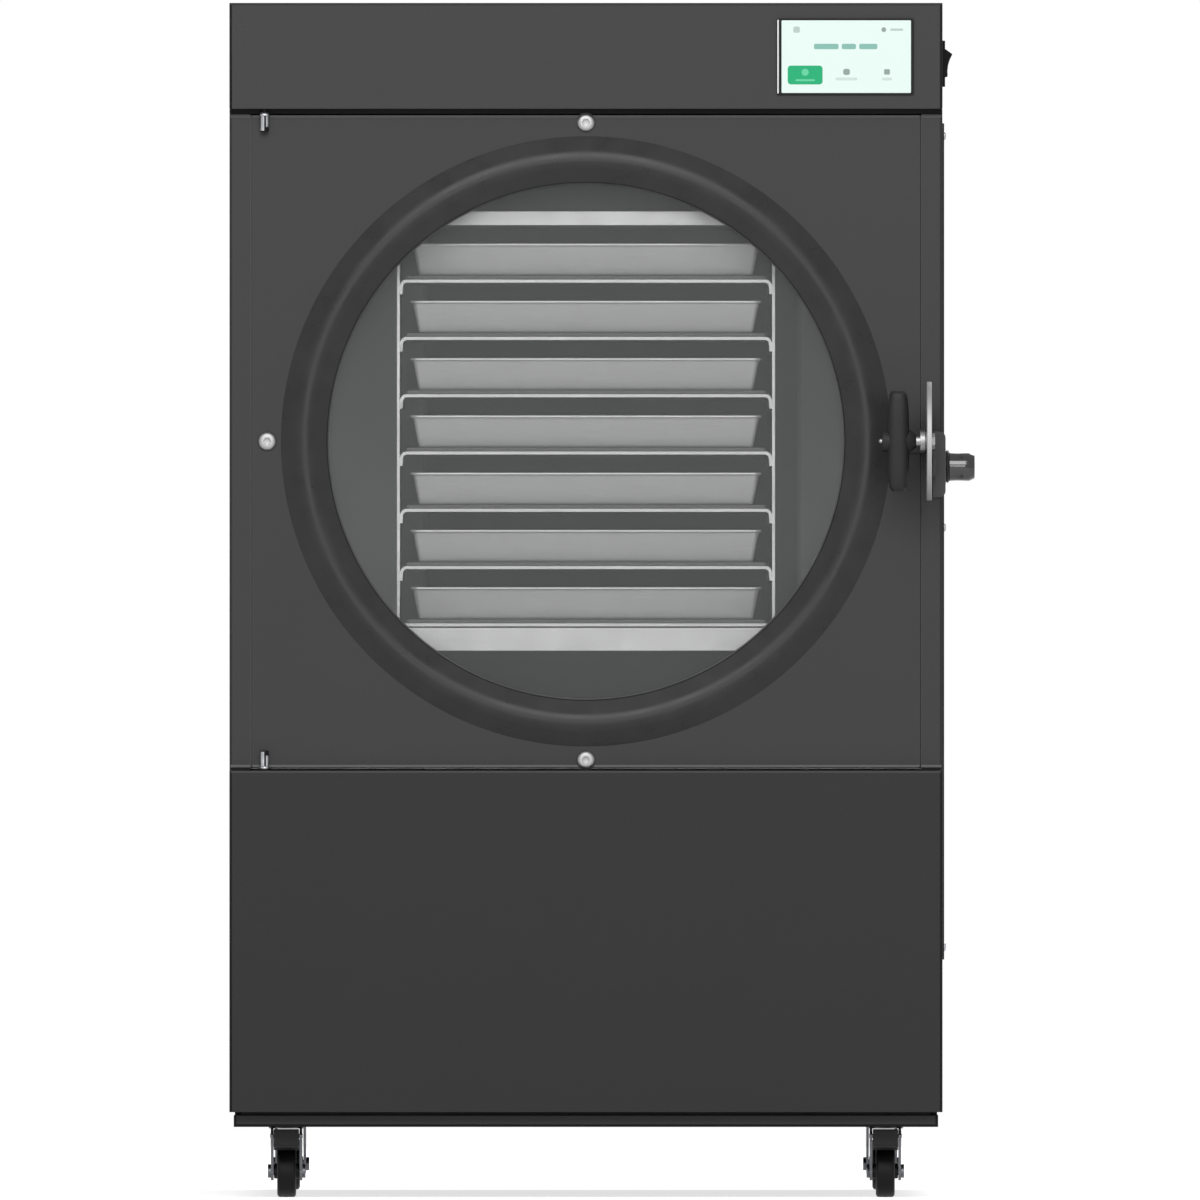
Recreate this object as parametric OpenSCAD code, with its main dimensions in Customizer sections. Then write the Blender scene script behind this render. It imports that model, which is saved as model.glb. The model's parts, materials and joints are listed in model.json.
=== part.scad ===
// Freeze dryer on casters: a square cabinet with a drum-shaped vacuum chamber,
// a hinged door with a round window, a shelf rack with seven trays, and the
// refrigeration set in the bay below. Millimetres, +Z up, -Y is the front.
// All modules work from the middle of the cabinet, with the floor at z = 0 and
// the door's front face at y = 0; in_frame() then centres the whole object.

/* [Cabinet] */
// Width over the side panels
cabinet_w = 680; // [660:5:820]
// Depth from the door's front face to the back of the side panels
cabinet_d = 640; // [600:5:800]
// Thickness of the folded sheet steel
sheet = 2; // [1.5:0.1:2.5]
// How far the header and the lower panel stand in front of the door
front_step = 12; // [11:0.5:16]
// Height of the header box
header_h = 101; // [95:1:140]
// Height of the lower front panel
lower_h = 326.2; // [300:1:420]
// Width of the fixed flange on each side of the door
flange_w = 20; // [16:1:30]

/* [Base and casters] */
// Height of the base plate's lower edge above the floor
base_z = 68; // [64:1:80]
// Height of the base plate's rim
base_rim = 11; // [9:0.5:16]
// How far the base plate is set in from the cabinet's sides
base_inset = 4; // [2:1:12]
// Dark gap between the base plate and the cabinet
base_gap = 3.3; // [2:0.1:6]
// Distance between the left and right casters
caster_track = 572; // [520:2:600]
// Distance between the front and rear casters
caster_wheelbase = 520; // [460:2:560]
// Diameter of a caster wheel
wheel_d = 50; // [40:1:54]
// Width of a caster wheel
wheel_w = 18; // [14:1:22]
// Distance of the wheel axle behind the swivel axis
caster_trail = 18; // [12:1:22]

/* [Door] */
// Height of the door
door_h = 622; // [610:1:660]
// Gap between the door's sides and the side flanges
door_gap = 1; // [0.8:0.1:2]
// Gap below the door
door_gap_low = 2.5; // [2:0.1:5]
// Gap between the door's top and the header
door_gap_top = 6; // [5:0.5:9]
// Depth of the door pan
door_t = 20; // [16:1:26]
// Radius of the clear window
window_r = 246.5; // [220:0.5:250]
// Width of the trim ring round the window
ring_w = 44.5; // [36:0.5:46]
// How far the trim ring stands out of the door
ring_proud = 10; // [6:0.5:10.5]
// Radius of the circle of window screws
screw_circle_r = 304; // [298:0.5:305]
// Diameter of a window screw's head
screw_head_d = 16; // [10:0.5:16]
// Distance of the hinge axis from the door's left edge
hinge_inset = 12.5; // [10:0.5:16]
// Distance of the hinge axis in front of the door
hinge_y = 5; // [4.5:0.1:7]

/* [Latch] */
// Distance of the latch shaft in front of the door
latch_y = 60; // [58:1:70]
// Length of the T-handle
handle_len = 95; // [80:1:100]
// Radius of the cam disc
cam_r = 56.5; // [52:0.5:57]
// Thickness of the cam disc
cam_t = 4.5; // [3:0.5:6]
// Radius of the cam's curved slot
cam_slot_r = 40; // [34:0.5:42]
// Diameter of the keeper pin
keeper_d = 8; // [6:0.5:9]
// Height of the keeper pin below the latch shaft
keeper_drop = 22; // [18:0.5:26]
// Diameter of the latch shaft
latch_shaft_d = 10; // [8:0.5:12]

/* [Chamber] */
// Inner radius of the vacuum chamber
chamber_r = 285; // [280:0.5:286]
// Wall of the vacuum chamber
chamber_wall = 3; // [2:0.5:4]
// Depth of the vacuum chamber inside
chamber_depth = 500; // [470:5:540]
// Diameter of the refrigerant tube round the chamber
coil_d = 8; // [6:0.5:9]
// Number of turns of the refrigerant tube
coil_turns = 9; // [6:1:12]
// Radius of the insulation's outside
insulation_r = 311; // [308:0.5:312]

/* [Rack and trays] */
// Width of the rack over its side plates
rack_w = 361.5; // [340:0.5:364]
// Depth of the rack
rack_d = 460; // [420:5:470]
// Thickness of the rack's sheet
rack_t = 3; // [2:0.5:4]
// Distance from shelf to shelf
shelf_pitch = 54.7; // [50:0.1:55]
// Height of the lowest shelf's top below the middle of the chamber
shelf_low = 173.5; // [165:0.5:180]
// Thickness of the heater mat on each shelf
mat_t = 3.5; // [2:0.5:5]
// Width of a tray at its rim
tray_w = 335; // [300:1:340]
// Height of a tray
tray_h = 31; // [20:1:34]
// Depth of a tray at its rim
tray_d = 430; // [380:5:440]
// Thickness of a tray's sheet
tray_t = 1.2; // [1:0.1:2]

/* [Header fittings] */
// Width of the display bezel
display_w = 131; // [110:1:150]
// Height of the display bezel
display_h = 73; // [60:1:76]
// Distance of the display bezel from the cabinet's right side
display_inset = 27.5; // [20:0.5:60]
// Height of the switch bezel
switch_h = 44; // [40:1:50]
// Angle that the rocker leans to each side
rocker_lean = 12; // [9:1:14]

/* [Side and rear fittings] */
// Diameter of the vacuum port
port_d = 28; // [24:1:34]
// Length of the vacuum port outside the cabinet
port_len = 30; // [26:1:50]
// Diameter of the bore of the vacuum port
port_bore = 19; // [15:1:20]
// Diameter of the fan
fan_d = 200; // [160:5:220]
// Diameter of the compressor's shell
compressor_d = 165; // [140:5:180]
// Height of the compressor's shell
compressor_h = 205; // [180:5:230]
// Outer diameter of the drain valve's outlet
drain_d = 14; // [12:0.5:18]

/* [Hidden] */
$fn = 64;

// Small amount by which a cutting shape passes the face that it cuts.
over = 1;
// Gap between two pieces that touch or seat on each other.
seat = 0.1;
// Radial clearance of a shaft in its bore.
running = 0.05;

half_w = cabinet_w / 2;
cabinet_z = base_z + base_rim + base_gap;
lower_top = cabinet_z + lower_h;
door_z = lower_top + door_gap_low;
door_top = door_z + door_h;
header_z = door_top + door_gap_top;
top_z = header_z + header_h;
mid_z = door_z + door_h / 2;
flange_x = half_w - flange_w;
door_half_w = flange_x - door_gap;
back_y = cabinet_d;
rear_sheet = sheet;

// The header's floor hangs below the cover and closes the cabinet's sides.
floor_z = header_z - 5;
floor_front = sheet;

// The chamber's flange stands behind the door, with the gasket between them.
gasket_t = 6;
flange_y = door_t + seat + gasket_t + seat;
chamber_flange_t = 3;
chamber_end_t = 6;
bulkhead_y = flange_y + chamber_flange_t + seat;
chamber_back = flange_y + chamber_depth;
chamber_out = chamber_r + chamber_wall;
gasket_in = chamber_r + 2;
gasket_out = chamber_r + 13;
deck_z = mid_z - insulation_r - seat - sheet;

hinge_x = -door_half_w + hinge_inset;
knuckle_r = 3.8;
knuckle_h = 15;
knuckle_edge = 1;
knuckle_places = [door_z + knuckle_edge, door_top - knuckle_edge - knuckle_h];
hinge_pin_r = 2.4;
hinge_collar_r = 4.6;

ring_r = window_r + ring_w;
screw_places = [[0, 1], [-1, 0], [0, -1], [1, 0]];
screw_r = 2.5;

// The latch, from the handle on the left to the nut on the right.
handle_x = flange_x - 22.5;
handle_thick = 21;
handle_depth = 25;
bracket_x = flange_x - 1.5;
bracket_t = 4.5;
bracket_h = 22;
latch_foot_t = 3;
cam_x = bracket_x + bracket_t + 1.6;
keeper_plate_x = cam_x + cam_t + 1.6;
keeper_plate_t = 3;
keeper_reach = sqrt(cam_slot_r * cam_slot_r - keeper_drop * keeper_drop);
keeper_y = -latch_y + keeper_reach;
keeper_z = mid_z - keeper_drop;
keeper_angle = -asin(keeper_drop / cam_slot_r);

// The rack and its shelves.
shelf_bend = 7;
rack_y = flange_y + 16;
rack_foot_r = chamber_r - seat;
rail_h = 22;
leg_h = 14;
lip_h = 13.5;
mat_w = rack_w - 2 * rack_t - 2 * shelf_bend;
tray_y = rack_y + 6;
tray_taper = 5.5;
rim_out = 2;
rim_t = 2.2;
tray_corner = 14;

// The vacuum port: a pipe from the drum through the right side, and the fitting on it.
port_y = 150;
port_z = mid_z - 23.5;
port_face = half_w + sheet;
port_pipe_bore = port_bore + 1;
port_pipe_r = port_bore / 2 + 3;
port_pipe_end = port_face + 8;

// The display, whose middle lies just below the header's.
display_x = half_w - display_inset - display_w / 2;
display_z = header_z + header_h / 2 - 0.8;
display_flange_t = 2;
display_body_inset = 9;
screen_w = display_w - 7.5;
screen_h = display_h - 3.6;
screen_shift = 1.2;

switch_y = 70;
switch_z = top_z - 57;
rocker_w = 20;
rocker_half_h = 14.5;
rocker_pin_r = 1.8;
bezel_t = 3;
switch_hole_w = 26;
switch_hole_h = switch_h - 8;

// The louvres of the lower bay, which the service panel's own louvres lie over.
louvre_y = cabinet_d * 0.6;
louvre_z = cabinet_z + 60;
louvre_pitch = 16;
louvre_len = 220;
louvre_h = 5;
bay_louvres = 11;
bare_louvres = 7;
service_low = cabinet_z + 145;
service_top = floor_z - 8;

// The fan with its condenser in front of it, on the left of the bay.
condenser_w = fan_d + 30;
condenser_side_gap = 90;
condenser_t = 50;
fan_x = -(half_w - condenser_side_gap - condenser_w / 2);
fan_z = cabinet_z + 160;
fan_shaft_r = 4;
fan_rotor_t = 30;
fan_hub_t = fan_rotor_t - 4;
fan_y = back_y - 14 - fan_rotor_t;
motor_len = 46;
motor_gap = 8;
motor_front = fan_y - motor_gap - motor_len;
condenser_y = motor_front - 2 - condenser_t;
condenser_top = fan_z + fan_d / 2 + 10;
// Places of the two rows of tubes in the condenser's depth.
condenser_rows = [0.3 * condenser_t, 0.7 * condenser_t];
// The manifold along the condenser's top, which the upper pipe runs into.
manifold_z = condenser_top - 8;
manifold_r = 5;

drain_pipe_r = 6;
drain_y = chamber_back - 60;
drain_z = base_z + 110;
// Distance of the drain valve and the inlet from the cabinet's right side.
fitting_inset = 105;
drain_x = half_w - fitting_inset;
inlet_x = half_w - fitting_inset;
inlet_z = cabinet_z + 248;
inlet_w = 50;
inlet_h = 34;

// The compressor stands in front of the drain pipe, on the right of the bay.
compressor_x = half_w - 175;
compressor_y = drain_y - drain_pipe_r - 48 - compressor_d / 2;
coil_clear = 0.2;
coil_r = chamber_out + coil_clear + coil_d / 2;
coil_first = bulkhead_y + 30;
coil_last = chamber_back - 25;
riser_y = coil_last;
riser_r = coil_d / 2 - 0.7;
// The first riser goes on to the compressor, the second to the condenser.
riser_x = [fan_x + 75, fan_x + 45];
// Height of the pipes under the deck.
line_z = condenser_top + 12;
compressor_pipe_x = compressor_x - 30;

caster_y = cabinet_d / 2;
caster_places = [for (y = [-1, 1], x = [-1, 1])
    [x * caster_track / 2, caster_y + y * caster_wheelbase / 2]];
// Underside of the base plate's raised middle, which the casters' races sit against.
race_z = cabinet_z - sheet;
axle_r = 4;
stem_r = 5;
race_r = 17;
race_t = 4.5;
kingpin_r = 4;
fork_plate = 2.5;
fork_in = wheel_w / 2 + 3.5;
fork_out = fork_in + fork_plate;
crown_top = race_z - race_t - 0.4;
crown_t = 3;
crown_low = base_z - 2;
pedal_pivot = [-13, base_z - 9];
pedal_pin_r = 2;
// The tip of the brake's nose, which stands this far off the tread until it is pressed.
brake_gap = 5.4;
brake_tip = [caster_trail, wheel_d / 2] + (wheel_d / 2 + brake_gap) * [cos(136), sin(136)];

// Extents of the whole object, which set its centre.
port_tip = half_w + sheet + port_len;
valve_tip = back_y + rear_sheet + 44;
centre_x = (port_tip - half_w) / 2;
centre_y = (valve_tip - latch_y - cam_r) / 2;

paint_dark = [0.24, 0.24, 0.24];
paint_black = [0.08, 0.08, 0.08];
steel = [0.75, 0.76, 0.77];
zinc = [0.62, 0.63, 0.65];
copper = [0.72, 0.42, 0.28];
rubber_black = [0.06, 0.06, 0.06];

module in_frame() {
    translate([-centre_x, -centre_y, 0]) children();
}

// Corner points of a rectangle of size w by h round the origin, with arcs of radius r.
function rounded(w, h, r, steps = 6) = [
    for (c = [0:3], i = [0:steps])
        let (a = c * 90 + i * 90 / steps,
             sx = (c == 0 || c == 3) ? 1 : -1,
             sy = (c < 2) ? 1 : -1)
        [sx * (w / 2 - r) + r * cos(a), sy * (h / 2 - r) + r * sin(a)]
];

// A box between two corners.
module block(low, high) {
    translate(low) cube(high - low);
}

// A cylinder along X, Y or Z that starts at a point.
module rod_x(p, len, r) {
    translate(p) rotate([0, 90, 0]) cylinder(h = len, r = r);
}
module rod_y(p, len, r) {
    translate(p) rotate([-90, 0, 0]) cylinder(h = len, r = r);
}
module rod_z(p, len, r) {
    translate(p) cylinder(h = len, r = r);
}

// A plate in the XZ plane from a rounded outline, from y to y + t.
module plate_y(p, w, h, r, t, steps = 4) {
    translate([p[0], p[1] + t, p[2]])
        rotate([90, 0, 0])
            linear_extrude(t) polygon(rounded(w, h, r, steps));
}

// A plate in the YZ plane from a rounded outline, from x to x + t.
module plate_x(p, w, h, r, t) {
    translate(p)
        rotate([90, 0, 90])
            linear_extrude(t) polygon(rounded(w, h, r, 4));
}

// Louvre slots number first to last - 1 in a side wall; each slot runs along Y.
module side_louvres(x, first, last) {
    for (n = [first:last - 1])
        translate([x, louvre_y, louvre_z + n * louvre_pitch])
            rotate([90, 0, 90])
                linear_extrude(4 * sheet, center = true)
                    polygon(rounded(louvre_len, louvre_h, louvre_h / 2 - 0.01, 2));
}

// A row of vertical slots in the rear wall on each side of the middle.
module rear_slots(x, z, count, len) {
    pitch = 22;
    w = 6;
    for (n = [0:count - 1], s = [-1, 1])
        plate_y([s * (x + n * pitch), back_y - 2 * sheet, z], w, len, w / 2 - 0.01, 5 * sheet, 2);
}

// ---------------------------------------------------------------- cabinet

module base_plate() {
    w = half_w - base_inset;
    top = base_z + base_rim;
    front = base_inset;
    back = back_y - base_inset;
    step = 8;
    color(paint_dark) in_frame() difference() {
        union() {
            block([-w, front, base_z], [w, back, top]);
            block([-w + step, front + step, top - sheet], [w - step, back - step, top + base_gap]);
        }
        block([-w + sheet, front + sheet, base_z - over],
              [w - sheet, back - sheet, top - sheet]);
        block([-w + step + sheet, front + step + sheet, top - 2 * sheet],
              [w - step - sheet, back - step - sheet, top + base_gap - sheet]);
        for (p = caster_places)
            rod_z([p[0], p[1], base_z], base_rim + base_gap + over, stem_r + 0.2);
    }
}

// One side panel: outer sheet with flanges folded in at the front, back, top and bottom.
module side_panel(side) {
    low = cabinet_z;
    top = floor_z;
    mirror([side < 0 ? 1 : 0, 0, 0]) difference() {
        union() {
            difference() {
                block([flange_x, 0, low], [half_w, back_y, top]);
                block([flange_x - over, sheet, low + sheet],
                      [half_w - sheet, back_y - sheet, top - sheet]);
            }
            // jamb beside the door, back to the bulkhead
            block([flange_x, 0, lower_top - 20], [flange_x + sheet, bulkhead_y - seat, top]);
        }
        side_louvres(half_w, 0, bay_louvres);
        if (side > 0)
            rod_x([half_w - 3 * sheet, port_y, port_z], 6 * sheet, port_d / 2 + 0.3);
    }
}

module side_panel_left() {
    color(paint_dark) in_frame() side_panel(-1);
}

module side_panel_right() {
    color(paint_dark) in_frame() side_panel(1);
}

// Thin removable cover on the right side, with louvres and the vacuum port's hole.
module service_panel() {
    y0 = 40;
    y1 = back_y - 30;
    z0 = service_low;
    z1 = service_top;
    color(paint_dark) in_frame() difference() {
        plate_x([half_w + seat, (y0 + y1) / 2, (z0 + z1) / 2], y1 - y0, z1 - z0, 6, sheet - seat);
        side_louvres(half_w + sheet, bare_louvres, bay_louvres);
        rod_x([half_w - over, port_y, port_z], 3 * sheet, port_d / 2 + 0.3);
    }
}

module rear_panel() {
    z0 = cabinet_z + 1;
    z1 = top_z - 1;
    color(paint_dark) in_frame() difference() {
        plate_y([0, back_y + seat, (z0 + z1) / 2], cabinet_w - 3, z1 - z0, 3, rear_sheet - seat);
        rod_y([fan_x, back_y - over, fan_z], 2 * rear_sheet + over, fan_d / 2 + 4);
        rear_slots(40, deck_z + 60, 12, 60);
        rear_slots(11, header_z + header_h / 2, 6, 44);
        rod_y([drain_x, back_y - over, drain_z], 3 * sheet, drain_d / 2 + 0.3);
        plate_y([inlet_x, back_y - over, inlet_z], inlet_w - 12, inlet_h - 6, 3, 3 * sheet);
    }
}

// Folded pan that closes the lower bay; its top lip carries the lower hinge pin.
module lower_front_panel() {
    color(paint_dark) in_frame() difference() {
        union() {
            block([-half_w, -front_step, cabinet_z], [half_w, -seat, lower_top]);
            // sill under the door, back to the bulkhead
            block([-flange_x + seat, -sheet, lower_top - sheet],
                  [flange_x - seat, bulkhead_y - seat, lower_top]);
        }
        block([-half_w + sheet, -front_step + sheet, cabinet_z + sheet],
              [half_w - sheet, bulkhead_y, lower_top - sheet]);
        rod_z([hinge_x, -hinge_y, lower_top - 2 * sheet], 3 * sheet, hinge_pin_r + 0.02);
    }
}

// Upright plate behind the door that carries the chamber.
module front_bulkhead() {
    w = half_w - sheet - seat;
    color(paint_black) in_frame() difference() {
        block([-w, bulkhead_y, deck_z + sheet + seat], [w, bulkhead_y + sheet, floor_z - sheet - seat]);
        rod_y([0, bulkhead_y - over, mid_z], sheet + 2 * over, chamber_out + seat);
    }
}

// Shelf between the chamber and the refrigeration bay.
module mid_deck() {
    w = half_w - sheet - seat;
    color(zinc) in_frame() difference() {
        union() {
            block([-w, bulkhead_y, deck_z], [w, back_y - sheet - seat, deck_z + sheet]);
            for (s = [-1, 1])
                block([s > 0 ? w - sheet : -w, bulkhead_y, deck_z - 18],
                      [s > 0 ? w : -w + sheet, back_y - sheet - seat, deck_z]);
        }
        rod_z([0, drain_y, deck_z - over], sheet + 2 * over, drain_pipe_r + 3);
        for (x = riser_x)
            rod_z([x, riser_y, deck_z - over], sheet + 2 * over, coil_d / 2 + 2);
    }
}

// Header: front, top and both sides folded from one sheet.
module header_cover() {
    color(paint_dark) in_frame() difference() {
        union() {
            difference() {
                block([-half_w, -front_step, header_z], [half_w, back_y, top_z]);
                block([-half_w + sheet, -front_step + sheet, header_z - over],
                      [half_w - sheet, back_y + over, top_z - sheet]);
            }
            // lip under the front, which carries the upper hinge pin
            block([-half_w + sheet, -front_step + sheet, header_z],
                  [half_w - sheet, floor_front - seat, header_z + sheet]);
        }
        plate_y([display_x, -front_step - over, display_z],
                display_w - display_body_inset + 1, display_h - display_body_inset + 1, 2, 3 * sheet);
        plate_x([half_w - 3 * sheet, switch_y, switch_z], switch_hole_w, switch_hole_h, 1, 6 * sheet);
        rod_z([hinge_x, -hinge_y, header_z - over], 3 * sheet, hinge_pin_r + 0.02);
    }
}

// Shallow tray that closes the header from below, set back to leave a dark gap; its
// foot is as wide as the cabinet, and its walls stand inside the cover.
module header_floor() {
    w = half_w - sheet - seat;
    color(paint_black) in_frame() difference() {
        union() {
            block([-w, floor_front, floor_z + seat], [w, back_y - sheet, header_z + 14]);
            block([-half_w, floor_front, floor_z + seat], [half_w, back_y - sheet, header_z - seat]);
        }
        block([-w + sheet, floor_front + sheet, floor_z + seat + sheet],
              [w - sheet, back_y - 2 * sheet, header_z + 14 + over]);
    }
}

// Pin that hangs from a lip at z = 0 and reaches down into a knuckle that starts
// at the distance drop; it has a riveted head, and a collar just above the knuckle.
module hinge_pin(drop) {
    rod_z([0, 0, -drop - knuckle_h + 3], drop + knuckle_h - 3 + sheet + 0.5, hinge_pin_r);
    rod_z([0, 0, sheet + seat], 2, hinge_pin_r + 1.5);
    rod_z([0, 0, -drop + 0.3], 3, hinge_collar_r);
}

module hinge_pins() {
    color(steel) in_frame() {
        translate([hinge_x, -hinge_y, header_z])
            hinge_pin(header_z - door_top + knuckle_edge);
        translate([hinge_x, -hinge_y, lower_top])
            mirror([0, 0, 1]) hinge_pin(door_z + knuckle_edge - lower_top);
    }
}

// Pan-head screws that hold the rear panel and the service panel.
module panel_screws() {
    head_t = 1.8;
    head_r = 4;
    low = cabinet_z + 30;
    high = top_z - 20;
    color(zinc) in_frame() {
        for (n = [0:4], s = [-1, 1])
            rod_y([s * (half_w - 12), back_y + rear_sheet + seat, low + n * (high - low) / 4],
                  head_t, head_r);
        for (y = [60, back_y - 50], z = [service_low + 12, mid_z - 82, service_top - 12])
            rod_x([half_w + sheet + seat, y, z], head_t, head_r);
    }
}

// ---------------------------------------------------------------- chamber

// Drum open at the front, with a flange for the gasket, a flat back and the port's pipe.
module vacuum_chamber() {
    color(steel) in_frame() difference() {
        union() {
            rod_y([0, flange_y, mid_z], chamber_depth + chamber_end_t, chamber_out);
            rod_y([0, flange_y, mid_z], chamber_flange_t, gasket_out + 2);
            rod_x([chamber_r - 2, port_y, port_z], port_pipe_end - chamber_r + 2, port_pipe_r);
        }
        rod_y([0, flange_y - over, mid_z], chamber_depth + over, chamber_r);
        rod_x([0, port_y, port_z], port_pipe_end + over, port_pipe_bore / 2);
        rod_z([0, drain_y, mid_z - chamber_out - over], 2 * chamber_wall + over, drain_pipe_r + running);
    }
}

// Height of the tube's middle under the drum, at the distance x from its axis.
function coil_z(x) = mid_z - sqrt(coil_r * coil_r - x * x);

// Copper tube in turns round the drum, and its two risers into the bay below.
module refrigerant_coil() {
    pitch = (coil_last - coil_first) / (coil_turns - 1);
    color(copper) in_frame() {
        for (n = [0:coil_turns - 1])
            translate([0, coil_first + n * pitch, mid_z])
                rotate([90, 0, 0])
                    rotate_extrude() translate([coil_r, 0]) circle(r = coil_d / 2);
        rod_y([coil_r, coil_first, mid_z], coil_last - coil_first, riser_r);
        tube([[riser_x[0], riser_y, coil_z(riser_x[0])],
              [riser_x[0], riser_y, line_z],
              [compressor_pipe_x, riser_y, line_z],
              [compressor_pipe_x, compressor_y, line_z],
              [compressor_pipe_x, compressor_y, cabinet_z + compressor_h + 2 * seat]], riser_r, 16);
        tube([[riser_x[1], riser_y, coil_z(riser_x[1])],
              [riser_x[1], riser_y, line_z],
              [riser_x[1], condenser_y + condenser_rows[1], line_z],
              [riser_x[1], condenser_y + condenser_rows[1], manifold_z + manifold_r + seat]],
             riser_r, 11);
    }
}

// Foam jacket between the drum with its coil and the cabinet.
module chamber_insulation() {
    front = bulkhead_y + sheet + seat;
    hollow_back = chamber_back + chamber_end_t + seat;
    back = hollow_back + 25;
    color([0.9, 0.85, 0.6]) in_frame() difference() {
        rod_y([0, front, mid_z], back - front, insulation_r);
        rod_y([0, front - over, mid_z], hollow_back - front + over, coil_r + coil_d / 2 + seat);
        rod_x([0, port_y, port_z], insulation_r + over, port_pipe_r + 0.5);
        rod_z([0, drain_y, mid_z - insulation_r - over], insulation_r, drain_pipe_r + 0.5);
        for (x = riser_x)
            rod_z([x, riser_y, mid_z - insulation_r - over], insulation_r, coil_d / 2 + 0.5);
    }
}

// Sealing ring on the chamber's flange, with a bead towards the door.
module chamber_gasket() {
    y0 = flange_y - seat - gasket_t;
    color(rubber_black) in_frame() translate([0, y0, mid_z]) rotate([-90, 0, 0]) rotate_extrude()
        polygon([[gasket_in, gasket_t], [gasket_in, 3], [gasket_in + 4, 0.3], [gasket_out - 5, 0.3],
                 [gasket_out, 3], [gasket_out, gasket_t]]);
}

// Straight tubes with round bends through a list of points, for right-angled turns.
module tube(points, r, bend) {
    last = len(points) - 1;
    for (n = [0:last - 1])
        let (way = unit(points[n + 1] - points[n]),
             low = points[n] + way * (n == 0 ? 0 : bend),
             high = points[n + 1] - way * (n == last - 1 ? 0 : bend))
        rod_between(low, high, r);
    for (n = [1:last - 1])
        let (come = unit(points[n] - points[n - 1]),
             go = unit(points[n + 1] - points[n]),
             side = cross(-go, come),
             c = points[n] - come * bend + go * bend)
        multmatrix([[-go[0], come[0], side[0], c[0]],
                    [-go[1], come[1], side[1], c[1]],
                    [-go[2], come[2], side[2], c[2]],
                    [0, 0, 0, 1]])
            rotate_extrude(angle = 90) translate([bend, 0]) circle(r = r);
}

function unit(v) = v / norm(v);

module rod_between(a, b, r) {
    way = b - a;
    len = norm(way);
    translate(a)
        rotate([0, acos(way[2] / len), atan2(way[1], way[0])])
            cylinder(h = len, r = r);
}

// ---------------------------------------------------------------- rack and trays

function shelf_z(n) = mid_z - shelf_low + n * shelf_pitch;

// Section of a shelf: a sheet whose two ends are bent down round an arc.
function shelf_section(w, t, r, drop, steps = 6) = concat(
    [[-w / 2, -drop]],
    [for (n = [0:steps]) let (a = 180 - n * 90 / steps)
        [-w / 2 + r + r * cos(a), -r + r * sin(a)]],
    [for (n = [0:steps]) let (a = 90 - n * 90 / steps)
        [w / 2 - r + r * cos(a), -r + r * sin(a)]],
    [[w / 2, -drop], [w / 2 - t, -drop]],
    [for (n = [0:steps]) let (a = n * 90 / steps)
        [w / 2 - r + (r - t) * cos(a), -r + (r - t) * sin(a)]],
    [for (n = [0:steps]) let (a = 90 + n * 90 / steps)
        [-w / 2 + r + (r - t) * cos(a), -r + (r - t) * sin(a)]],
    [[-w / 2 + t, -drop]]
);

module shelf_rack() {
    half = rack_w / 2;
    foot = mid_z - sqrt(rack_foot_r * rack_foot_r - half * half);
    top = shelf_z(7);
    rail_top = shelf_z(0) - rack_t - 1.5;
    color(steel) in_frame() {
        for (s = [-1, 1])
            block([s > 0 ? half - rack_t : -half, rack_y, foot],
                  [s > 0 ? half : -half + rack_t, rack_y + rack_d, top]);
        for (n = [0:6])
            translate([0, rack_y + rack_d, shelf_z(n)])
                rotate([90, 0, 0])
                    linear_extrude(rack_d)
                        polygon(shelf_section(rack_w - 2 * rack_t, rack_t, shelf_bend, leg_h));
        block([-half, rack_y, top - rack_t], [half, rack_y + rack_d, top]);
        // front lip of the top plate, clear of the drum
        block([-half + 14, rack_y, top - over], [half - 14, rack_y + rack_t, top + lip_h - rack_t]);
        // rail across the front under the lowest shelf, and one across the back
        for (y = [rack_y, rack_y + rack_d - rack_t])
            block([-half + rack_t - over, y, rail_top - rail_h],
                  [half - rack_t + over, y + rack_t, rail_top]);
    }
}

module heater_mats() {
    color(rubber_black) in_frame()
        for (n = [0:6])
            block([-mat_w / 2, rack_y + 3, shelf_z(n) + seat],
                  [mat_w / 2, rack_y + rack_d - 3, shelf_z(n) + mat_t]);
}

// Pressed tray with sloping sides and a rim; grow makes the outer or the inner form.
module tray_form(inset, floor_up) {
    w = tray_w - 2 * rim_out - 2 * inset;
    d = tray_d - 2 * rim_out - 2 * inset;
    r = tray_corner - inset;
    hull() {
        translate([0, 0, floor_up])
            linear_extrude(0.1) polygon(rounded(w - 2 * tray_taper, d - 2 * tray_taper, r - 3, 4));
        translate([0, 0, tray_h - 0.1])
            linear_extrude(0.1 + (floor_up > 0 ? over : 0)) polygon(rounded(w, d, r, 4));
    }
}

module tray(n) {
    color([0.62, 0.62, 0.62]) in_frame()
        translate([0, tray_y + tray_d / 2, shelf_z(n - 1) + mat_t + seat])
            difference() {
                union() {
                    tray_form(0, 0);
                    translate([0, 0, tray_h - rim_t])
                        linear_extrude(rim_t) polygon(rounded(tray_w, tray_d, tray_corner + rim_out, 4));
                }
                tray_form(tray_t, tray_t);
            }
}

// ---------------------------------------------------------------- header fittings

module display_bezel() {
    front = -front_step - display_flange_t;
    color(paint_black) in_frame() difference() {
        union() {
            plate_y([display_x, front, display_z], display_w, display_h, 2, display_flange_t - seat);
            plate_y([display_x, front + 1, display_z],
                    display_w - display_body_inset, display_h - display_body_inset, 2, 18);
        }
        plate_y([display_x + screen_shift, front - over, display_z], screen_w, screen_h, 1, over + 1.5);
        plate_y([display_x, front, display_z], display_w - 15, display_h - 15, 1, 16);
    }
}

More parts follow.
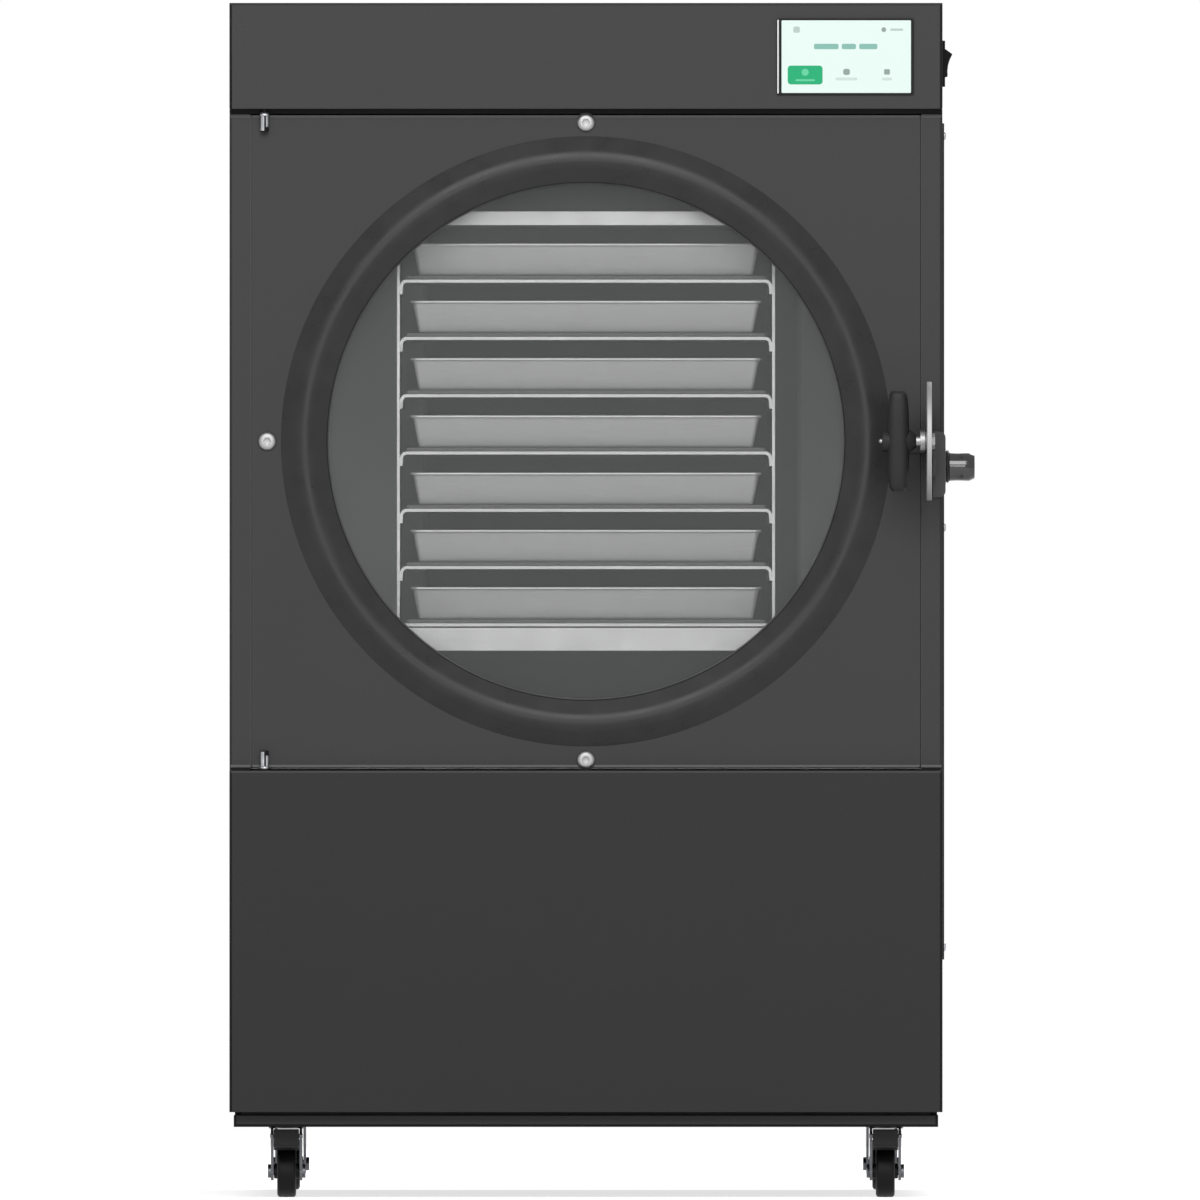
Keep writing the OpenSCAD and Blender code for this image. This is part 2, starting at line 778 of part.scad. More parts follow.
module display_screen() {
    color([0.93, 0.98, 0.96]) in_frame()
        plate_y([display_x + screen_shift, -front_step - display_flange_t + seat, display_z],
                screen_w - 2 * seat, screen_h - 2 * seat, 1, 1.5 - 2 * seat);
}

// Electronics on a mounting plate that stands on the header's floor.
module control_unit() {
    z0 = floor_z + 2 * seat + sheet;
    color([0.15, 0.35, 0.25]) in_frame() {
        block([-120, 200, z0], [160, 460, z0 + 3]);
        block([-110, 210, z0 + 2], [-10, 380, z0 + 45]);
        block([10, 215, z0 + 2], [150, 330, z0 + 12]);
        for (n = [0:3])
            rod_z([30 + n * 32, 370, z0 + 2], 32, 11);
        block([10, 405, z0 + 2], [150, 450, z0 + 22]);
    }
}

// Body of the rocker switch: bezel outside, housing inside, with bores for the rocker's pins.
module switch_body() {
    color(paint_black) in_frame() difference() {
        union() {
            plate_x([half_w + seat, switch_y, switch_z], switch_hole_w + 4, switch_h, 2, bezel_t - seat);
            plate_x([half_w - 26, switch_y, switch_z], switch_hole_w - 0.4, switch_hole_h - 0.4, 1, 27);
        }
        plate_x([half_w - 9, switch_y, switch_z], rocker_w + 1, 2 * rocker_half_h + 1.4, 0.5, 20);
        rod_y([half_w, switch_y - rocker_w / 2 - 2.3, switch_z], rocker_w + 4.6, rocker_pin_r + running);
    }
}

// Rocker with a hollow face and two stub pins; it leans out at its upper end.
module power_rocker() {
    tip = rocker_half_h - 3.5;
    color(rubber_black) in_frame() translate([half_w, switch_y, switch_z]) {
        rotate([0, rocker_lean, 0])
            translate([0, rocker_w / 2, 0])
                rotate([90, 0, 0])
                    linear_extrude(rocker_w)
                        polygon([[-3, -9], [0, -rocker_half_h], [8, -tip], [6.6, -tip / 2], [6.1, 0],
                                 [6.6, tip / 2], [8, tip], [0, rocker_half_h], [-3, 9]]);
        rod_y([0, -rocker_w / 2 - 2, 0], rocker_w + 4, rocker_pin_r);
    }
}

// ---------------------------------------------------------------- side and rear fittings

// Turned fitting on the end of the drum's pipe, open from end to end.
module vacuum_port() {
    r = port_d / 2;
    socket_r = port_pipe_r + running;
    socket = 8 + seat;
    color(steel) in_frame() translate([port_face, port_y, port_z]) rotate([0, 90, 0]) rotate_extrude()
        polygon([[port_bore / 2, socket], [socket_r, socket], [socket_r, seat], [r + 3, seat],
                 [r + 3, 2.5], [r - 0.5, 2.5], [r - 0.5, 5], [r, 5.5],
                 [r, 11], [r - 1, 11.5], [r - 1, 18], [r, 18.5],
                 [r, port_len - 5], [r - 2.5, port_len], [port_bore / 2, port_len]]);
}

// Bracket on the right side flange with the pin that the latch cam catches.
module keeper_bracket() {
    foot_h = 63;
    foot_right = half_w + 3;
    foot_round = 6;
    ear_r = 12;
    pin_left = cam_x - 0.8;
    pin_right = keeper_plate_x + keeper_plate_t + 0.4;
    color(zinc) in_frame() {
        translate([0, -seat, keeper_z]) rotate([90, 0, 0]) linear_extrude(keeper_plate_t)
            polygon(concat(
                [[keeper_plate_x, -foot_h / 2]],
                [for (n = [0:4]) let (a = -90 + n * 22.5)
                    [foot_right - foot_round + foot_round * cos(a),
                     -foot_h / 2 + foot_round + foot_round * sin(a)]],
                [for (n = [0:4]) let (a = n * 22.5)
                    [foot_right - foot_round + foot_round * cos(a),
                     foot_h / 2 - foot_round + foot_round * sin(a)]],
                [[keeper_plate_x, foot_h / 2]]));
        block([keeper_plate_x, keeper_y, keeper_z - ear_r],
              [keeper_plate_x + keeper_plate_t, -seat, keeper_z + ear_r]);
        rod_x([keeper_plate_x, keeper_y, keeper_z], keeper_plate_t, ear_r);
        rod_x([pin_left, keeper_y, keeper_z], pin_right - pin_left, keeper_d / 2);
    }
}

// Welded pot with feet, a terminal box and stub tubes.
module compressor() {
    r = compressor_d / 2;
    h = compressor_h;
    color(paint_black) in_frame() translate([compressor_x, compressor_y, cabinet_z + seat]) {
        rotate_extrude() polygon(concat(
            [[0, 6]],
            [for (n = [0:5]) let (a = -90 + n * 18) [r - 30 + 30 * cos(a), 36 + 30 * sin(a)]],
            [for (n = [0:5]) let (a = n * 18) [r - 45 + 45 * cos(a), h - 45 + 45 * sin(a)]],
            [[0, h]]));
        translate([0, 0, h / 2 - 2]) cylinder(h = 4, r = r + 4);
        linear_extrude(4) polygon(rounded(compressor_d + 40, compressor_d - 20, 12));
        block([-25, -24, 3], [25, 24, 10]);
        block([r - 8, -30, 60], [r + 26, 30, 120]);
        for (x = [-1, 1], y = [-1, 1])
            rod_z([x * (r + 8), y * (r - 26), 3], 8, 8);
    }
}

// Fin pack with two end plates and the tubes that run through it.
module condenser() {
    half = condenser_w / 2;
    fins = 22;
    tubes = 6;
    z0 = cabinet_z + seat;
    color([0.7, 0.71, 0.72]) in_frame() translate([fan_x, condenser_y, 0]) {
        for (s = [-1, 1])
            block([s > 0 ? half - 2 : -half, 0, z0],
                  [s > 0 ? half : -half + 2, condenser_t, condenser_top]);
        for (n = [1:fins - 1])
            block([-half + n * condenser_w / fins - 0.5, 3, z0 + 8],
                  [-half + n * condenser_w / fins + 0.5, condenser_t - 3, condenser_top - 14]);
        for (n = [0:tubes - 1], y = condenser_rows)
            rod_x([-half + 1, y, z0 + 28 + n * (condenser_top - z0 - 60) / (tubes - 1)],
                  condenser_w - 2, 4);
        rod_x([-half + 1, condenser_rows[1], manifold_z], condenser_w - 2, manifold_r);
        block([-half, 0, z0], [half, condenser_t, z0 + 2]);
    }
}

// Motor on a cross of arms that reaches the guard's screws on the rear panel.
module fan_motor() {
    reach = fan_d / 2 + 12;
    arm_y = motor_front + 4;
    arm_t = 4;
    arm_half = 5;
    shaft_from = motor_front + motor_len - over;
    shaft_to = fan_y + fan_hub_t - 1;
    color(paint_black) in_frame() translate([fan_x, 0, fan_z]) {
        rod_y([0, motor_front, 0], motor_len, 34);
        rod_y([0, motor_front - 4, 0], 5, 14);
        rod_y([0, shaft_from, 0], shaft_to - shaft_from, fan_shaft_r);
        for (a = [45, 135]) rotate([0, a, 0])
            block([-reach, arm_y, -arm_half], [reach, arm_y + arm_t, arm_half]);
        for (a = [45:90:315]) rotate([0, a, 0])
            block([reach - arm_t, arm_y, -arm_half], [reach, back_y, arm_half]);
    }
}

module fan_rotor() {
    blades = 5;
    hub_r = 30;
    blade_low = hub_r - 4;
    blade_high = fan_d / 2 - 7;
    color([0.2, 0.2, 0.22]) in_frame() translate([fan_x, fan_y, fan_z]) {
        difference() {
            rod_y([0, 0, 0], fan_hub_t, hub_r);
            rod_y([0, -over, 0], fan_rotor_t, fan_shaft_r + running);
        }
        for (n = [0:blades - 1]) rotate([0, n * 360 / blades, 0])
            difference() {
                translate([(blade_low + blade_high) / 2, fan_hub_t / 2, 0]) rotate([28, 0, 0])
                    cube([blade_high - blade_low, 2.4, 46], center = true);
                rod_y([0, -over, 0], fan_rotor_t, hub_r - 4);
            }
    }
}

// Stamped guard over the rear opening: flat rings on a cross of flat bars.
module fan_guard() {
    ring_t = 2;
    bar = 4;
    rings = 7;
    outer = fan_d / 2 + 8;
    ear = fan_d / 2 + 12;
    color(steel) in_frame() translate([fan_x, back_y + rear_sheet + seat, fan_z]) {
        for (n = [1:rings])
            rotate([-90, 0, 0]) rotate_extrude()
                translate([n * outer / rings - bar / 2, 0]) square([bar, ring_t]);
        for (a = [45, 135]) rotate([0, a, 0])
            block([-ear, 0, -bar], [ear, ring_t, bar]);
    }
}

module drain_tube() {
    color([0.85, 0.85, 0.85]) in_frame() difference() {
        tube([[0, drain_y, mid_z - chamber_r - 2], [0, drain_y, drain_z], [drain_x, drain_y, drain_z],
              [drain_x, back_y - 30 - seat, drain_z]], drain_pipe_r, 20);
        rod_z([0, drain_y, mid_z - chamber_r - 40], 60, drain_pipe_r - 1.5);
    }
}

// Ball valve through the rear panel, with a stem on top and a tapered outlet.
module drain_valve() {
    r = drain_d / 2;
    out = back_y + rear_sheet;
    color([0.78, 0.65, 0.35]) in_frame() translate([drain_x, 0, drain_z]) difference() {
        union() {
            rod_y([0, back_y - 30, 0], out + 8 - back_y + 30, r);
            rod_y([0, out + seat, 0], 3, r + 5);
            translate([0, out + 18, 0]) sphere(r = r + 5);
            rod_y([0, out + 18, 0], valve_tip - out - 18, r);
            rod_z([0, out + 18, 0], r + 8, 5);
            rod_z([0, out + 18, 0], r + 15, 2.5);
        }
        rod_y([0, back_y - 31, 0], valve_tip - back_y + 32, r - 3);
    }
}

// Flat lever on the valve's stem; shut, it lies across the outlet.
module drain_lever() {
    z = drain_z + drain_d / 2 + 8.3;
    y = back_y + rear_sheet + 18;
    color([0.75, 0.15, 0.12]) in_frame() difference() {
        union() {
            rod_z([drain_x, y, z], 4, 8);
            block([drain_x - 52, y - 6, z + 0.5], [drain_x, y + 6, z + 3.5]);
            rod_z([drain_x - 52, y, z + 0.5], 3, 6);
        }
        rod_z([drain_x, y, z - over], 4 + 2 * over, 2.5 + running);
    }
}

// Three-pole appliance inlet; its cord is a separate thing.
module power_inlet() {
    out = back_y + rear_sheet;
    color(paint_black) in_frame() translate([inlet_x, 0, inlet_z]) {
        difference() {
            union() {
                plate_y([0, out + seat, 0], inlet_w, inlet_h, 4, 3);
                plate_y([0, back_y - 24, 0], inlet_w - 13, inlet_h - 7, 3, 27);
            }
            plate_y([0, back_y - 14, 0], inlet_w - 22, inlet_h - 14, 3, 30);
        }
        for (x = [-8, 0, 8])
            block([x - 1, back_y - 15, x == 0 ? 1 : -5], [x + 1, out - 4, x == 0 ? 7 : 1]);
    }
}

// ---------------------------------------------------------------- door

// Folded pan with a round opening and two welded knuckles.
module door_panel() {
    color(paint_dark) in_frame() difference() {
        union() {
            difference() {
                block([-door_half_w, 0, door_z], [door_half_w, door_t, door_top]);
                block([-door_half_w + sheet, sheet, door_z + sheet],
                      [door_half_w - sheet, door_t + over, door_top - sheet]);
                rod_y([0, -over, mid_z], sheet + 2 * over, window_r + 6);
            }
            for (z = knuckle_places) {
                rod_z([hinge_x, -hinge_y, z], knuckle_h, knuckle_r);
                block([hinge_x - 2.5, -hinge_y, z], [hinge_x + 2.5, sheet / 2, z + knuckle_h]);
            }
        }
        rod_z([hinge_x, -hinge_y, knuckle_places[0] - over], knuckle_h - 2 + over, hinge_pin_r + running);
        rod_z([hinge_x, -hinge_y, knuckle_places[1] + 2], knuckle_h - 2 + over, hinge_pin_r + running);
        window_screw_holes(-over, sheet + 2 * over);
    }
}

module window_screw_holes(y, len) {
    for (p = screw_places)
        rod_y([p[0] * screw_circle_r, y, mid_z + p[1] * screw_circle_r], len, screw_r + 0.1);
}

// Thick clear plate behind the pan's front, which takes the vacuum's load.
module window_plate() {
    w = 2 * (door_half_w - sheet - seat);
    h = door_h - 2 * sheet - 2 * seat;
    color([0.6, 0.65, 0.66, 0.4]) in_frame() difference() {
        plate_y([0, sheet + seat, mid_z], w, h, 3, door_t - sheet - seat);
        window_screw_holes(sheet, 13);
    }
}

// Round moulding with a convex front, held in the pan's opening.
module window_ring() {
    half = ring_w / 2;
    mid = window_r + half;
    steps = 14;
    color(rubber_black) in_frame() translate([0, 0, mid_z]) rotate([90, 0, 0]) rotate_extrude()
        polygon(concat(
            [[window_r, -sheet + seat]],
            [for (n = [0:steps]) let (a = 180 - n * 180 / steps)
                [mid + half * cos(a), ring_proud * sin(a) + seat]],
            [[window_r + 5.5, seat], [window_r + 5.5, -sheet + seat]]));
}

// Button-head screws through the pan into the clear plate; the right one also
// holds the latch bracket.
module window_screws() {
    head_r = screw_head_d / 2;
    color(steel) in_frame()
        for (p = screw_places)
            let (foot = p[0] > 0 ? latch_foot_t + seat : 0)
            translate([p[0] * screw_circle_r, -seat - foot, mid_z + p[1] * screw_circle_r])
                rotate([90, 0, 0]) difference() {
                    union() {
                        cylinder(h = 2.2, r = head_r);
                        translate([0, 0, 2.2]) cylinder(h = 1.6, r1 = head_r, r2 = head_r - 2.6);
                        translate([0, 0, -foot - 12]) cylinder(h = foot + 13, r = screw_r);
                    }
                    translate([0, 0, 1.6]) cylinder(h = 4, r = 3.4, $fn = 6);
                }
}

// Arm beside the door's edge that carries the latch shaft, on a foot on the door's face.
module latch_bracket() {
    foot_left = ring_r + 1.5;
    color(steel) in_frame() difference() {
        union() {
            block([foot_left, -latch_foot_t - seat, mid_z - bracket_h / 2],
                  [bracket_x + 1, -seat, mid_z + bracket_h / 2]);
            block([bracket_x, -latch_y, mid_z - bracket_h / 2],
                  [bracket_x + bracket_t, -1, mid_z + bracket_h / 2]);
            rod_x([bracket_x, -latch_y, mid_z], bracket_t, bracket_h / 2);
        }
        rod_x([bracket_x - over, -latch_y, mid_z], bracket_t + 2 * over, latch_shaft_d / 2 + running);
        rod_y([screw_circle_r, -10, mid_z], 12, screw_r + 0.3);
    }
}

// Shaft of the latch, with a thin domed tip at the handle's end and a nut beyond the cam.
module latch_shaft() {
    left = handle_x - handle_thick / 2 - 6;
    right = cam_x + cam_t + 0.3;
    r = latch_shaft_d / 2;
    tip_r = 2.4;
    color(steel) in_frame() translate([0, -latch_y, mid_z]) {
        translate([left, 0, 0]) rotate([0, 90, 0]) rotate_extrude() polygon(concat(
            [[0, right + 2.6 - left], [r, right + 2.6 - left], [r, 1.6], [r - 0.6, 1], [tip_r, 1]],
            arc([0, 0], tip_r, 0, -90, 8)));
        translate([right, 0, 0]) rotate([0, 90, 0]) cylinder(h = 3, r = 7.6, $fn = 6);
    }
}

// Black T-handle: a tapered bar on a hub that narrows towards the bracket.
module latch_handle() {
    half = handle_len / 2;
    r = handle_thick / 2;
    hub_r = 11;
    hub_end = bracket_x - 4;
    color(rubber_black) in_frame() translate([handle_x, -latch_y, mid_z]) difference() {
        union() {
            scale([1, handle_depth / handle_thick, 1]) hull() {
                translate([0, 0, -half / 2]) cylinder(h = half, r = r, $fn = 32);
                translate([0, 0, -half + 3]) cylinder(h = handle_len - 6, r = 8.6, $fn = 32);
                translate([0, 0, -half]) cylinder(h = handle_len, r = 6.8, $fn = 32);
            }
            rotate([0, 90, 0]) cylinder(h = r + 1.5, r = hub_r);
            translate([r + 1.5, 0, 0]) rotate([0, 90, 0])
                cylinder(h = hub_end - handle_x - r - 1.5, r1 = hub_r, r2 = 6.8);
            rod_x([-r - 5, 0, 0], r, hub_r - 0.5);
        }
        rod_x([-r - 6, 0, 0], 60, latch_shaft_d / 2 + running);
    }
}

// Points on an arc round c, from angle a to angle b.
function arc(c, r, a, b, steps) = [
    for (n = [0:steps]) let (t = a + n * (b - a) / steps) c + r * [cos(t), sin(t)]
];

// Outline of the cam's slot: a straight mouth at the keeper pin's height, then an
// arc round the shaft with a round end.
function cam_slot(w, sweep) =
    let (start = keeper_angle,
         end = keeper_angle - sweep,
         low = -keeper_drop - w / 2,
         meet = asin(low / (cam_slot_r + w / 2)))
    concat(
        [[cam_r + over, -keeper_drop + w / 2]],
        arc([keeper_reach, -keeper_drop], w / 2, 90, start + 180, 6),
        arc([0, 0], cam_slot_r - w / 2, start - 2, end, 18),
        arc(cam_slot_r * [cos(end), sin(end)], w / 2, end - 165, end - 15, 10),
        arc([0, 0], cam_slot_r + w / 2, end, meet, 18),
        [[cam_r + over, low]]
    );

// Disc whose curved slot catches the keeper pin; at rest its mouth faces the
// cabinet, so that the door can open.
module latch_cam() {
    color(steel) in_frame() translate([cam_x, -latch_y, mid_z]) rotate([90, 0, 90]) difference() {
        union() {
            cylinder(h = cam_t, r = cam_r, $fn = 128);
            translate([0, 0, -1.2]) cylinder(h = 2.2, r = 9);
        }
        translate([0, 0, -2]) cylinder(h = cam_t + 4, r = latch_shaft_d / 2 + running);
        translate([0, 0, -over]) linear_extrude(cam_t + 2 * over)
            polygon(cam_slot(keeper_d + 1.6, 92));
    }
}

// ---------------------------------------------------------------- casters

// Threaded stems with their nuts above the base plate and the fixed races below it.
module caster_stems() {
    color(zinc) in_frame() for (p = caster_places) translate([p[0], p[1], 0]) {
        rod_z([0, 0, race_z - race_t], race_t - seat, race_r);
        rod_z([0, 0, race_z - over], sheet + 14, stem_r);
        rod_z([0, 0, crown_top - crown_t - 3.4], race_z - crown_top + crown_t + 3, kingpin_r);
        rod_z([0, 0, crown_top - crown_t - 3.4], 3, kingpin_r + 3);
        translate([0, 0, race_z + sheet + seat]) cylinder(h = 8, r = 9, $fn = 6);
    }
}

// Fork with its riveted axle, as seen from its swivel axis on the floor.
module fork(pedal) {
    axle_z = wheel_d / 2;
    difference() {
        union() {
            difference() {
                rod_z([0, 0, crown_low], crown_top - crown_low, race_r);
                rod_z([0, 0, crown_low - over], crown_top - crown_t - crown_low + over,
                      race_r - fork_plate);
            }
            for (s = [-1, 1])
                translate([s > 0 ? fork_in : -fork_out, 0, 0]) rotate([90, 0, 90]) {
                    linear_extrude(fork_plate)
                        polygon([[-14, crown_low + 3], [-14, crown_low - 4], [caster_trail - 9, axle_z],
                                 [caster_trail + 9, axle_z], [14, crown_low - 4], [14, crown_low + 3]]);
                    translate([caster_trail, axle_z, 0]) cylinder(h = fork_plate, r = 9);
                    if (pedal)
                        translate([pedal_pivot[0], pedal_pivot[1], 0]) cylinder(h = fork_plate, r = 5);
                }
            // gussets that carry the legs under the crown
            for (s = [-1, 1])
                block([s > 0 ? fork_in - 3 : -fork_out, -9, crown_low],
                      [s > 0 ? fork_out : -fork_in + 3, 9, crown_low + 3]);
            rod_x([-fork_out - 3, caster_trail, axle_z], 2 * fork_out + 6, axle_r);
            for (s = [-1, 1])
                rod_x([s > 0 ? fork_out : -fork_out - 3, caster_trail, axle_z], 3, axle_r + 2.5);
        }
        rod_z([0, 0, crown_top - crown_t - over], crown_t + 2 * over, kingpin_r + running);
        if (pedal)
            rod_x([-fork_out - over, pedal_pivot[0], pedal_pivot[1]], 2 * fork_out + 2 * over,
                  pedal_pin_r + running);
    }
}

module caster_fork(n) {
    p = caster_places[n - 1];
    color(zinc) in_frame() translate([p[0], p[1], 0]) fork(n <= 2);
}

// Solid wheel with a rounded tread, sunk sides and a hub that meets the fork.
module caster_wheel(n) {
    p = caster_places[n - 1];
    r = wheel_d / 2;
    w = wheel_w / 2;
    hub = fork_in - 0.3;
    color(rubber_black) in_frame() translate([p[0], p[1] + caster_trail, r]) rotate([0, 90, 0])
        rotate_extrude() polygon([
            [axle_r + running, -hub], [8, -hub], [8, -w + 3], [r - 6, -w + 3], [r - 4, -w], [r - 1.5, -w],
            [r - 0.4, -w + 1.5], [r, -w + 4], [r, w - 4], [r - 0.4, w - 1.5], [r - 1.5, w], [r - 4, w],
            [r - 6, w - 3], [8, w - 3], [8, hub], [axle_r + running, hub]]);
}

// Foot pedal between the fork's legs; its nose swings back towards the tread.
module brake_pedal(n) {
    p = caster_places[n - 1];
    w = fork_in - 0.4;
    tip = brake_tip - pedal_pivot;
    color(rubber_black) in_frame() translate([p[0], p[1], 0]) {
        translate([-w, 0, 0]) rotate([90, 0, 90]) linear_extrude(2 * w)
            translate(pedal_pivot)
                polygon([[-22, -9], [-22, 6.6], [-6, 6.6], [-5, 5], [4, 4], [5, -3], tip, tip - [5, 1],
                         [-4, -9], [-19, -11]]);
        rod_x([-fork_out - 0.5, pedal_pivot[0], pedal_pivot[1]], 2 * fork_out + 1, pedal_pin_r);
    }
}

base_plate();
caster_stems();
side_panel_left();
side_panel_right();
service_panel();
rear_panel();
lower_front_panel();
front_bulkhead();
mid_deck();
header_cover();
header_floor();
hinge_pins();
vacuum_chamber();
refrigerant_coil();
chamber_insulation();
chamber_gasket();
shelf_rack();
heater_mats();
tray(1);  // tray_1
tray(2);  // tray_2
tray(3);  // tray_3
tray(4);  // tray_4
tray(5);  // tray_5
tray(6);  // tray_6
tray(7);  // tray_7
display_bezel();
display_screen();
control_unit();
switch_body();
power_rocker();
vacuum_port();
keeper_bracket();
compressor();
condenser();
fan_motor();
fan_guard();
fan_rotor();
drain_tube();
drain_valve();
drain_lever();
power_inlet();
panel_screws();
door_panel();
window_plate();
window_ring();
window_screws();
latch_bracket();
latch_shaft();
latch_handle();
latch_cam();
caster_fork(1);  // caster_fork_1
caster_fork(2);  // caster_fork_2
caster_fork(3);  // caster_fork_3
caster_fork(4);  // caster_fork_4
caster_wheel(1);  // caster_wheel_1
caster_wheel(2);  // caster_wheel_2
caster_wheel(3);  // caster_wheel_3
caster_wheel(4);  // caster_wheel_4
brake_pedal(1);  // brake_pedal_1
brake_pedal(2);  // brake_pedal_2
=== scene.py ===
"""Looks of a freeze dryer on casters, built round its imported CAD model.

Everything is in metres in the CAD frame: +Z up, -Y out of the door, +X towards
the vacuum port. Places and sizes come from the boxes of the CAD nodes. Profiles
and widths that say so are in millimetres.
"""
import json
import math

import bmesh
import bpy
from mathutils import Matrix, Vector


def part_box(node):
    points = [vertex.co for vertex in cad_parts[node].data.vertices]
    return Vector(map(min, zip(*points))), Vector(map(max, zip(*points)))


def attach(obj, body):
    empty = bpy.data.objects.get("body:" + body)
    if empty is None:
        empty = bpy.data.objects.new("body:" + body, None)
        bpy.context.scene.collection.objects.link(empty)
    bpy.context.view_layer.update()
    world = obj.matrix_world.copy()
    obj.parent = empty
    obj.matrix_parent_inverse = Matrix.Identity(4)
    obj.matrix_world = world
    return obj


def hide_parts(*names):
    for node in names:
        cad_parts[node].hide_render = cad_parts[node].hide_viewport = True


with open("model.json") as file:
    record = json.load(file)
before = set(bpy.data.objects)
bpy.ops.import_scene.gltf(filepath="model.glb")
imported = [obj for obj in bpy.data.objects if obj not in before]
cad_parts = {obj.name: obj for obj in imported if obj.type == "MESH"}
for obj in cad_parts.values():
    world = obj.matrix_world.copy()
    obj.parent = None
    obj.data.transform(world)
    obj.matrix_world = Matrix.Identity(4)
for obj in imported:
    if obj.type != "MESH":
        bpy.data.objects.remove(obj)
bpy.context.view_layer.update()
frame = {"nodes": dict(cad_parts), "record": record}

MM = 0.001
RECORD = frame["record"]
SLOT_OF = {part["node"]: part["material_slot"] for part in RECORD["subparts"]}
BODY_OF = {node: body for body, nodes in RECORD["behaviour"]["bodies"].items() for node in nodes}
# Turns that bring the Z axis onto the axis named.
TURN = {
    "X": Matrix.Rotation(math.pi / 2, 4, "Y"),
    "Y": Matrix.Rotation(-math.pi / 2, 4, "X"),
    "Z": Matrix.Identity(4),
}


# ------------------------------------------------------------------ measures

def middle(node):
    """Centre of a CAD node's box."""
    low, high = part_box(node)
    return (low + high) / 2


def spread(node):
    """Size of a CAD node's box."""
    low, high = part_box(node)
    return high - low


def points_of(node):
    """Places of the points in a CAD node's mesh."""
    return [vert.co for vert in frame["nodes"][node].data.vertices]


def limits(points):
    """Lowest and highest corner round some points."""
    points = list(points)
    return [Vector([pick(p[i] for p in points) for i in range(3)]) for pick in (min, max)]


def pieces_of(node):
    """Boxes (low, high) of the separate solids in one CAD node, in a fixed order."""
    form = welded(node)
    left = set(form.verts)
    boxes = []
    while left:
        group, front = set(), [left.pop()]
        while front:
            vert = front.pop()
            group.add(vert)
            for link in vert.link_edges:
                other = link.other_vert(vert)
                if other in left:
                    left.discard(other)
                    front.append(other)
        boxes.append(limits(v.co for v in group))
    form.free()
    return sorted(boxes, key=lambda box: [round(box[0][i], 4) for i in (2, 0, 1)])


# ------------------------------------------------------------------ materials

def tone(red, green=None, blue=None):
    """Linear colour of a tone given from 0 to 255 as a screen shows it; one level is a grey."""
    levels = [value / 255 for value in ((red, red, red) if green is None else (red, green, blue))]
    return tuple(v / 12.92 if v < 0.0404 else ((v + 0.055) / 1.055) ** 2.4 for v in levels)


class Nodes:
    """A node tree whose nodes are added by short calls."""

    def __init__(self, tree):
        self.tree = tree

    def feed(self, socket, value):
        """Gives a socket a value, or links an output to it."""
        if isinstance(value, bpy.types.NodeSocket):
            self.tree.links.new(value, socket)
        else:
            socket.default_value = value

    def node(self, kind, inputs=None, **settings):
        """Adds a node, with values or links for its inputs, and gives its outputs."""
        new = self.tree.nodes.new("ShaderNode" + kind)
        for name, value in settings.items():
            setattr(new, name, value)
        for name, value in (inputs or {}).items():
            self.feed(new.inputs[name], value)
        return new.outputs

    def seen(self):
        """1 for rays from the camera, off gloss or through glass, and 0 for other light."""
        rays = self.node("LightPath")
        seen = rays["Is Camera Ray"]
        for name in ("Is Glossy Ray", "Is Transmission Ray"):
            seen = self.node("Math", {0: seen, 1: rays[name]}, operation="MAXIMUM")[0]
        return seen


